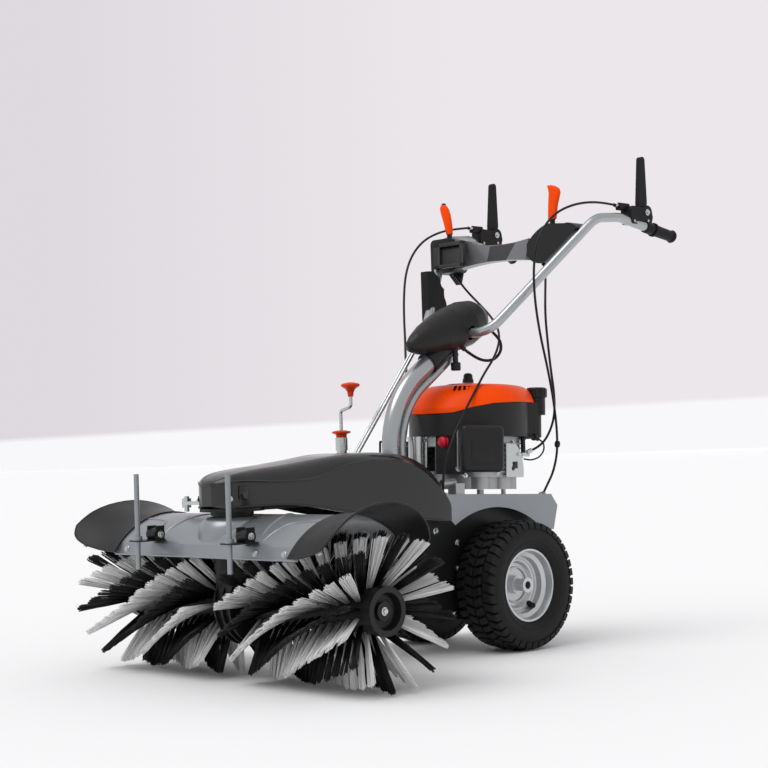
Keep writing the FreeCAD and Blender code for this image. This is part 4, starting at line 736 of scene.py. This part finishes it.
def leant(x, y, z):
    """A place on the engine after it leans back with its plate."""
    c, s = math.cos(PITCH), math.sin(PITCH)
    return (x, y * c + (z - PLATE_Z) * s, PLATE_Z - y * s + (z - PLATE_Z) * c)


def plan_reach(angle):
    """How far the engine's cover reaches from its middle: a disc that fills out toward the tank's corners."""
    corner = (abs(math.remainder(angle, 2 * math.pi)) - CORNER_AT) / CORNER_SPREAD
    return DISC_R + CORNER_REACH * math.exp(-corner * corner)


def dome_point(s, angle):
    """A point of the orange cover at a share s of its reach: a dome that squares off over the tank."""
    reach = plan_reach(angle)
    edge_y = ENGINE_Y + reach * math.cos(angle)
    parting = float(np.interp(edge_y, [y for y, z in PARTING], [z for y, z in PARTING])) + PARTING_GAP
    if s in SKIRT_LEVELS:
        z = parting
    else:
        rear = 0.5 + 0.5 * math.cos(angle)
        drop = DOME_TOP - max(DOME_EDGE, parting + EDGE_RISE)
        z = DOME_TOP - drop * s ** (FRONT_POWER + REAR_MORE * rear)
    return m(*leant(reach * s * math.sin(angle), ENGINE_Y + reach * s * math.cos(angle), z))


def make_recoil_cover():
    """The orange cover down to the swept parting line, with five slots as dark blocks of painted shade and a
    ring on its top.
    """
    bm = bmesh.new()
    rings = []
    for s in DOME_LEVELS + SKIRT_LEVELS:
        count = DOME_SIDES if s else 1
        rings.append([bm.verts.new(dome_point(s, 2 * math.pi * k / DOME_SIDES)) for k in range(count)])
    skin(bm, rings)
    bm.faces.new(rings[-1])
    cover = finish_bm("recoil_shell", bm, "orange", "frame", 55.0)
    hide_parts("recoil_cover")
    # The slots are thin dark blocks on the dome: painted shade for their openings
    bm = bmesh.new()
    for i in range(5):
        turn = math.radians(27 + 6 * i)
        side, out = Vector((math.cos(turn), math.sin(turn))), Vector((math.sin(turn), -math.cos(turn)))
        corners = []
        for r, w, z in SLOT_CORNERS:
            for lift in SLOT_LIFTS:
                p = out * (r + lift) + side * w
                corners.append(bm.verts.new(m(*leant(p.x, ENGINE_Y + p.y, z + lift))))
        for face in SLOT_FACES:
            bm.faces.new([corners[k] for k in face])
    finish_bm("recoil_slots", bm, "opening_shade", "frame")
    bm = bmesh.new()
    ring = [(0, 58), (1.6, 57), (2.4, 55), (1.6, 53), (0, 52)]
    lathe(bm, ring, leant(0, ENGINE_Y, 683.5), (0, PLATE_SLOPE, 1), 64)
    finish_bm("recoil_ring", bm, "black", "frame")


FILTER_TURN = Matrix.Rotation(math.radians(-25), 4, "Z")
FILTER_MIDDLE = Vector((163, -115, 0))
# The seam in the filter's own frame, up one side, over the top and down the other
FILTER_SEAM = [(-2, -57.2, 466), (-2, -57.2, 557), (-2, -44, 570), (-2, 44, 570), (-2, 57.2, 557),
               (-2, 57.2, 466)]


def on_filter(x, y, z):
    """A place given in the air filter's own frame, as one on the machine."""
    return leant(*(FILTER_TURN @ Vector((x, y, z)) + FILTER_MIDDLE))


def make_air_filter():
    """The filter's rounded box, with a blank raised plate, a seam round its lid and a clip at each end."""
    bm = bmesh.new()
    block(bm, (-22, -57.5, 452, 22, 57.5, 570), 13.0, 6)
    remap(bm, on_filter)
    shell = finish_bm("air_filter_shell", bm, "black", "frame")
    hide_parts("air_filter")
    bm = bmesh.new()
    block(bm, (21.4, -34, 474, 23.4, 26, 532), 0.7)
    for y in (-58.6, 55.6):
        block(bm, (-12, y, 498, 10, y + 3, 522), 1.0)
    remap(bm, on_filter)
    tube(bm, [m(*on_filter(*p)) for p in FILTER_SEAM], [1.3] * len(FILTER_SEAM), 8)
    finish_bm("air_filter_trim", bm, "black", "frame")


KNOB = [(0, 0), (0, 12), (3, 12), (3, 9), (10, 8.5), (10, 13), (22, 12), (24, 9), (24, 0)]
UPPER_SCREW = [(0, 0), (0, 8), (4, 8), (4, 5), (14, 5), (14, 0)]
LOWER_SCREW = [(0, 0), (0, 6), (9, 6), (9, 3.5), (16, 3.5), (16, 0)]
BULB = [(0, 0), (0, 16.5), (3, 16.8), (4, 14.5), (9, 14.2), (13, 12), (15, 9), (16.5, 5), (17, 0)]
SPRING_END = [(0, 0), (0, 9), (5, 9), (6, 7), (20, 6), (20, 0)]
THROTTLE_WIRE = [(120, 100, 484), (122, 128, 481), (122, 158, 488), (121, 178, 504), (119, 181, 522),
                 (117, 166, 534), (116, 146, 537)]


def make_engine():
    """The engine's cover and air filter, and its screws, primer bulb, cooling fins and throttle linkage."""
    make_recoil_cover()
    make_air_filter()
    bm = bmesh.new()
    lathe(bm, KNOB, leant(104, 98, 536), (0.5, 0.3, 0.8), 24)
    lathe(bm, UPPER_SCREW, leant(86, -118, 462), (0.9, -0.4, 0), 16)
    lathe(bm, LOWER_SCREW, leant(92, -104, 446), (0.9, -0.3, -0.2), 16)
    for x, y, z in ((112, -60, 470), (112, 60, 470), (112, 60, 530), (112, 0, 452)):
        bolt(bm, leant(x, y, z), (1, 0, 0), 5.5)
    for z in (462, 536):
        bolt(bm, leant(-18, -132, z), (0, -1, 0), 3.6)
    bolt(bm, leant(122, 72, 500), (1, 0, 0), 4.0)
    finish_bm("engine_fittings", bm, "zinc", "frame")
    bm = bmesh.new()
    lathe(bm, BULB, leant(45, -126, 531), (0, -1, 0.04), 40)
    finish_bm("primer_bulb", bm, "red", "frame")
    bm = bmesh.new()
    for k in range(7):
        z = 452 + 12.5 * k
        block(bm, (104, -64, z, 118, 96, z + 3.2), 0.8)
        block(bm, (-60, 100, z, 84, 112, z + 3.2), 0.8)
    remap(bm, leant)
    finish_bm("engine_fins", bm, "alloy", "frame")
    bm = bmesh.new()
    block(bm, (112, 96, 536, 126, 140, 545), 2.0)
    block(bm, (116, 92, 500, 124, 104, 545), 2.0)
    lathe(bm, SPRING_END, (118, 142, 541), (0, 1, -0.3), 20)
    wire = smooth_line([m(*p) for p in THROTTLE_WIRE])
    tube(bm, wire, [2.2] * len(wire), 10)
    finish_bm("throttle_linkage", bm, "cable", "frame")
    # A thin dark plate of painted shade where the bracket has an opening
    bm = bmesh.new()
    block(bm, (121.5, 52.9, 460.2, 123.2, 71.9, 478.2), 1.0)
    finish_bm("bracket_port", bm, "opening_shade", "frame")


# Handlebar

# The darker parallelogram on the panel, as (x, z)
STRIPE = [(-75, 1029), (-62, 1069.5), (30, 1069.5), (-6, 1026)]
STRIPE_BACK, STRIPE_FRONT = 196.6, 195.4
GLAND = [(0, 0), (0, 5.4), (3, 6.6), (12, 6.6), (13, 5), (16, 4.6), (16, 0)]
CONSOLE_TOP = 1096
# The console's back and its frame of four bars, before the face leans and sweeps
CONSOLE = [(-262, 186, 1018, -148, 192, CONSOLE_TOP), (-262, 177, 1018, -238, 187, CONSOLE_TOP),
           (-162, 177, 1018, -148, 187, CONSOLE_TOP), (-262, 177, 1083, -148, 187, CONSOLE_TOP),
           (-262, 177, 1018, -148, 187, 1030)]
CONSOLE_LEAN, CONSOLE_SWEEP = 0.60, 0.55
GRIP_END, GRIP_LINE, GRIP_LENGTH = Vector((292, 548.4, 1079.5)), Vector((16, 208.4, -40.5)), 112
SLEEVE = [(0, 13.1), (0, 15.2), (2, 16), (30, 16), (33, 15), (33, 13.1)]


def make_handlebar():
    """The panel's stripe, the clamps' bolts and glands, the left console's face and the grips' sleeves."""
    bm = bmesh.new()
    ends = [[bm.verts.new(m(x, y, z)) for x, z in STRIPE] for y in (STRIPE_BACK, STRIPE_FRONT)]
    skin(bm, ends, capped=True)
    finish_bm("panel_stripe_plate", bm, "stripe", "handlebar")
    bm = bmesh.new()
    for side in (1, -1):
        for y, z, r in ((442, 1139, 6.0), (444, 1116, 4.0), (384, 1112, 4.0)):
            bolt(bm, (side * 293, y, z), (side, 0, 0), r, washer=r > 5)
            bolt(bm, (side * 257, y, z), (-side, 0, 0), r, washer=r > 5)
        lathe(bm, GLAND, (side * 268, 347, 1154), (0, -1, 0), 20)
    finish_bm("handlebar_bolts", bm, "zinc", "handlebar")
    bm = bmesh.new()
    for corners in CONSOLE:
        block(bm, corners, 2.5)
    for vert in bm.verts:
        drop = CONSOLE_TOP / 1000 - vert.co.z
        vert.co.y -= CONSOLE_LEAN * drop
        vert.co.x += CONSOLE_SWEEP * drop
    finish_bm("console_face", bm, "black", "handlebar")
    bm = bmesh.new()
    block(bm, (-256, 209, 1208, -246, 219, 1214.2), 2.0)
    finish_bm("speed_lever_tip", bm, "black", "handlebar")
    make_speed_levers()
    bm = bmesh.new()
    d = GRIP_LINE.normalized()
    start = GRIP_END - d * GRIP_LENGTH
    for side in (1, -1):
        lathe(bm, SLEEVE, (side * start.x, start.y, start.z), (side * d.x, d.y, d.z), 32, closed=True)
    finish_bm("grip_sleeves", bm, "grip", "handlebar")


# Each lever's handle by height above its slot, shift to the left and half width
LEVER_NEAR = [(12, 0, 9), (14, 0, 12.5), (30, 1.5, 13.5), (50, 4, 15), (68, 8, 17.5), (82, 11, 19),
              (92, 9, 18), (100, 2, 13), (104, -4, 8), (105, -6, 3)]
LEVER_FAR = [(12, 0, 7), (14, 0, 10), (30, -2, 12), (50, -6, 14), (70, -11.5, 15.5), (84, -16, 15),
             (92, -19, 12.5), (98, -20, 8), (101, -20, 4)]
LEVERS = ((150, 1108.5, LEVER_NEAR), (-232, 1110.3, LEVER_FAR))
LEVER_Y, LEVER_DEPTH = 214, 8.0
LEVER_SIDES = 24
STEM_TOP = 1.1208


def rounded(value):
    """A cosine or sine drawn outward, so that a circle fills out toward a square."""
    return math.copysign(abs(value) ** 0.75, value)


def make_speed_levers():
    """The two orange lever handles, as rounded grips on their black stems."""
    bm = bmesh.new()
    for x, z0, rings in LEVERS:
        made = []
        for z, shift, half in rings:
            deep = min(LEVER_DEPTH, half * 0.8)
            ring = []
            for k in range(LEVER_SIDES):
                a = 2 * math.pi * k / LEVER_SIDES
                out_x, out_y = rounded(math.cos(a)), rounded(math.sin(a))
                ring.append(bm.verts.new(m(x + shift + half * out_x, LEVER_Y + deep * out_y, z0 + z)))
            made.append(ring)
        skin(bm, made, capped=True)
        block(bm, (x - 4, LEVER_Y - 7, z0, x + 4, LEVER_Y + 7, z0 + 16), 1.0)
    levers = finish_bm("speed_lever_grips", bm, "orange", "handlebar", 50.0)
    levers.data.materials.append(MATS["black"])
    for face in levers.data.polygons:
        if face.center.z < STEM_TOP:
            face.material_index = 1
    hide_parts("speed_levers")


# Cables

SLEEVE_FROM = 11
KNOT = [(-7, 3.2), (-7, 6.5), (-3, 7.6), (3, 7.6), (7, 6.5), (7, 3.2)]


def cable_mesh(name, points, r):
    """A smooth tube through a cable's control points."""
    curve = bpy.data.curves.new(name, "CURVE")
    curve.dimensions = "3D"
    spline = curve.splines.new("NURBS")
    spline.points.add(len(points) - 1)
    for place, point in zip(spline.points, points):
        place.co = (*m(*point), 1)
    spline.order_u = 3
    spline.use_endpoint_u = True
    spline.resolution_u = 8
    curve.bevel_depth = r / 1000
    curve.bevel_resolution = 4
    curve.use_fill_caps = True
    holder = bpy.data.objects.new(name, curve)
    bpy.context.scene.collection.objects.link(holder)
    bpy.context.view_layer.update()
    mesh = bpy.data.meshes.new_from_object(holder.evaluated_get(bpy.context.evaluated_depsgraph_get()))
    bpy.data.objects.remove(holder)
    mesh.materials.clear()
    return mesh


def make_cables():
    """The four control cables and the loop by the pivot as smooth tubes that replace the solid ones, and a
    sleeve and a knot on the cables; the loop rides the frame.
    """
    for name, points in (("clutch", CLUTCH_CABLE), ("speed", SPEED_CABLE), ("drive", DRIVE_CABLE),
                         ("shift", SHIFT_CABLE)):
        mesh = cable_mesh(name, points, CABLE_R)
        obj = place_mesh(name + "_cable_line", mesh, "cable", None)
        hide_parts(name + "_cable")
        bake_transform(obj)
    mesh = cable_mesh("loop", PIVOT_LOOP, LOOP_R)
    loop = place_mesh("pivot_loop_line", mesh, "cable", "frame")
    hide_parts("pivot_loop")
    bm = bmesh.new()
    sleeve = smooth_line([m(*p) for p in DRIVE_CABLE[SLEEVE_FROM:]], 6)
    tube(bm, sleeve, [5.4] * len(sleeve), 14)
    lathe(bm, KNOT, (153, 198, 520), (0.45, -0.35, 1), 20)
    sleeves = finish_bm("cable_sleeves", bm, "cable", None)
    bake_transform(sleeves)


# Camera, placed where the photograph was taken from

AZIMUTH, CAMERA_PITCH, CAMERA_ROLL = math.radians(46.12), math.radians(2.08), math.radians(-1.82)
CAMERA_PLACE = (3043.5, -3212.7, 532.7)
FOCAL_PIXELS = 1674.2
FRAME_PIXELS = 768.0


def make_camera():
    """The camera that was fitted to the photograph: its place, three turns and focal length."""
    ahead = Vector((-math.sin(AZIMUTH) * math.cos(CAMERA_PITCH), math.cos(AZIMUTH) * math.cos(CAMERA_PITCH),
                    math.sin(CAMERA_PITCH)))
    level = ahead.cross(Vector((0, 0, 1))).normalized()
    over = level.cross(ahead)
    right = math.cos(CAMERA_ROLL) * level + math.sin(CAMERA_ROLL) * over
    up = math.cos(CAMERA_ROLL) * over - math.sin(CAMERA_ROLL) * level
    data = bpy.data.cameras.new("camera")
    data.sensor_width = 36.0
    data.lens = data.sensor_width * FOCAL_PIXELS / FRAME_PIXELS
    data.clip_start, data.clip_end = 0.05, 200.0
    camera = bpy.data.objects.new("camera", data)
    bpy.context.scene.collection.objects.link(camera)
    turn = Matrix((right, up, -ahead)).transposed().to_4x4()
    camera.matrix_world = Matrix.Translation(m(*CAMERA_PLACE)) @ turn
    bpy.context.scene.camera = camera


# Stage

WALL_FAR = 60.0
WALL_WIDE = 26.0
WALL_HIGH = 24.0
FLOOR_HALF = WALL_FAR + 20
# The wall's white band ends over these heights, at a tilt, and its painted shade, darker to the left, runs
# between these places across it
BAND_END, BAND_TILT = (1.37, 1.56), -0.026
SHADE_SPAN = (-12.0, 3.0)
SKY_STRENGTH, SUN_STRENGTH = 0.74, 1.15
SUN_WIDTH = math.radians(40)
SUN_HEADING = Vector((0.15, 0.5, -0.85))


def linear(r, g, b):
    """A screen colour of 0 to 255 as a linear one."""
    return tuple(((c / 255 + 0.055) / 1.055) ** 2.4 for c in (r, g, b)) + (1,)


def sheet(name, corners, mat):
    """One flat face that belongs to the stage."""
    mesh = bpy.data.meshes.new(name)
    mesh.from_pydata(corners, [], [(0, 1, 2, 3)])
    mesh.materials.append(mat)
    obj = bpy.data.objects.new(name, mesh)
    bpy.context.scene.collection.objects.link(obj)
    return obj


def make_stage():
    """A white floor, and far behind it a pale wall that starts a little above the horizon."""
    mat, _, shader = new_material("stage_white")
    shader.inputs["Base Color"].default_value = (0.93, 0.93, 0.935, 1)
    shader.inputs["Roughness"].default_value = 0.9
    corners = [(-1, -1), (1, -1), (1, 1), (-1, 1)]
    sheet("stage_floor", [(FLOOR_HALF * x, FLOOR_HALF * y, 0) for x, y in corners], mat)
    ahead = Vector((-math.sin(AZIMUTH), math.cos(AZIMUTH), 0))
    right = Vector((math.cos(AZIMUTH), math.sin(AZIMUTH), 0))
    foot = m(CAMERA_PLACE[0], CAMERA_PLACE[1], 0) + ahead * WALL_FAR
    corners = [(-WALL_WIDE, 0), (WALL_WIDE, 0), (WALL_WIDE, WALL_HIGH), (-WALL_WIDE, WALL_HIGH)]
    wall = sheet("stage_wall", [(x, 0, z) for x, z in corners], wall_material())
    turn = Matrix((right, ahead, Vector((0, 0, 1)))).transposed().to_4x4()
    wall.matrix_world = Matrix.Translation(foot) @ turn
    wall.visible_shadow = False


def wall_material():
    """A pale glow with painted shade, a little darker to the left, over a white band where the wall meets the
    floor.
    """
    mat = bpy.data.materials.new("stage_wall")
    mat.use_nodes = True
    tree = mat.node_tree
    tree.nodes.clear()
    make, link = tree.nodes.new, tree.links.new
    split = make("ShaderNodeSeparateXYZ")
    link(make("ShaderNodeTexCoord").outputs["Object"], split.inputs["Vector"])
    slope = make("ShaderNodeMath")
    slope.operation = "MULTIPLY_ADD"
    slope.inputs[1].default_value = BAND_TILT
    link(split.outputs["X"], slope.inputs[0])
    link(split.outputs["Z"], slope.inputs[2])
    tones = []
    for (low, high), source in ((BAND_END, slope.outputs["Value"]), (SHADE_SPAN, split.outputs["X"])):
        share = make("ShaderNodeMapRange")
        share.inputs["From Min"].default_value = low
        share.inputs["From Max"].default_value = high
        link(source, share.inputs["Value"])
        tone = make("ShaderNodeMix")
        tone.data_type = "RGBA"
        link(share.outputs["Result"], tone.inputs["Factor"])
        tones.append(tone)
    edge, across = tones
    # Painted shade: the glowing wall is darker to the left
    across.inputs["A"].default_value = linear(222, 217, 222)
    across.inputs["B"].default_value = linear(236, 231, 235)
    edge.inputs["A"].default_value = linear(248, 248, 250)
    link(across.outputs["Result"], edge.inputs["B"])
    glow = make("ShaderNodeEmission")
    link(edge.outputs["Result"], glow.inputs["Color"])
    link(glow.outputs["Emission"], make("ShaderNodeOutputMaterial").inputs["Surface"])
    return mat


def make_lights():
    """A soft high sun from the camera's front left, under an even pale sky."""
    scene = bpy.context.scene
    scene.view_settings.view_transform = "Standard"
    world = bpy.data.worlds.new("world")
    scene.world = world
    world.use_nodes = True
    sky = world.node_tree.nodes["Background"]
    sky.inputs["Color"].default_value = (0.98, 0.98, 0.99, 1)
    sky.inputs["Strength"].default_value = SKY_STRENGTH
    data = bpy.data.lights.new("sun", "SUN")
    data.energy = SUN_STRENGTH
    data.angle = SUN_WIDTH
    sun = bpy.data.objects.new("sun", data)
    scene.collection.objects.link(sun)
    sun.rotation_mode = "QUATERNION"
    sun.rotation_quaternion = SUN_HEADING.to_track_quat("-Z", "Y")


make_camera()
make_cables()
dress_nodes()
make_brush()
for side_name, side_sign in (("left", 1), ("right", -1)):
    make_wheel(side_name, side_sign)
make_deck()
make_cover()
make_chassis()
make_engine()
make_handlebar()
make_stage()
make_lights()
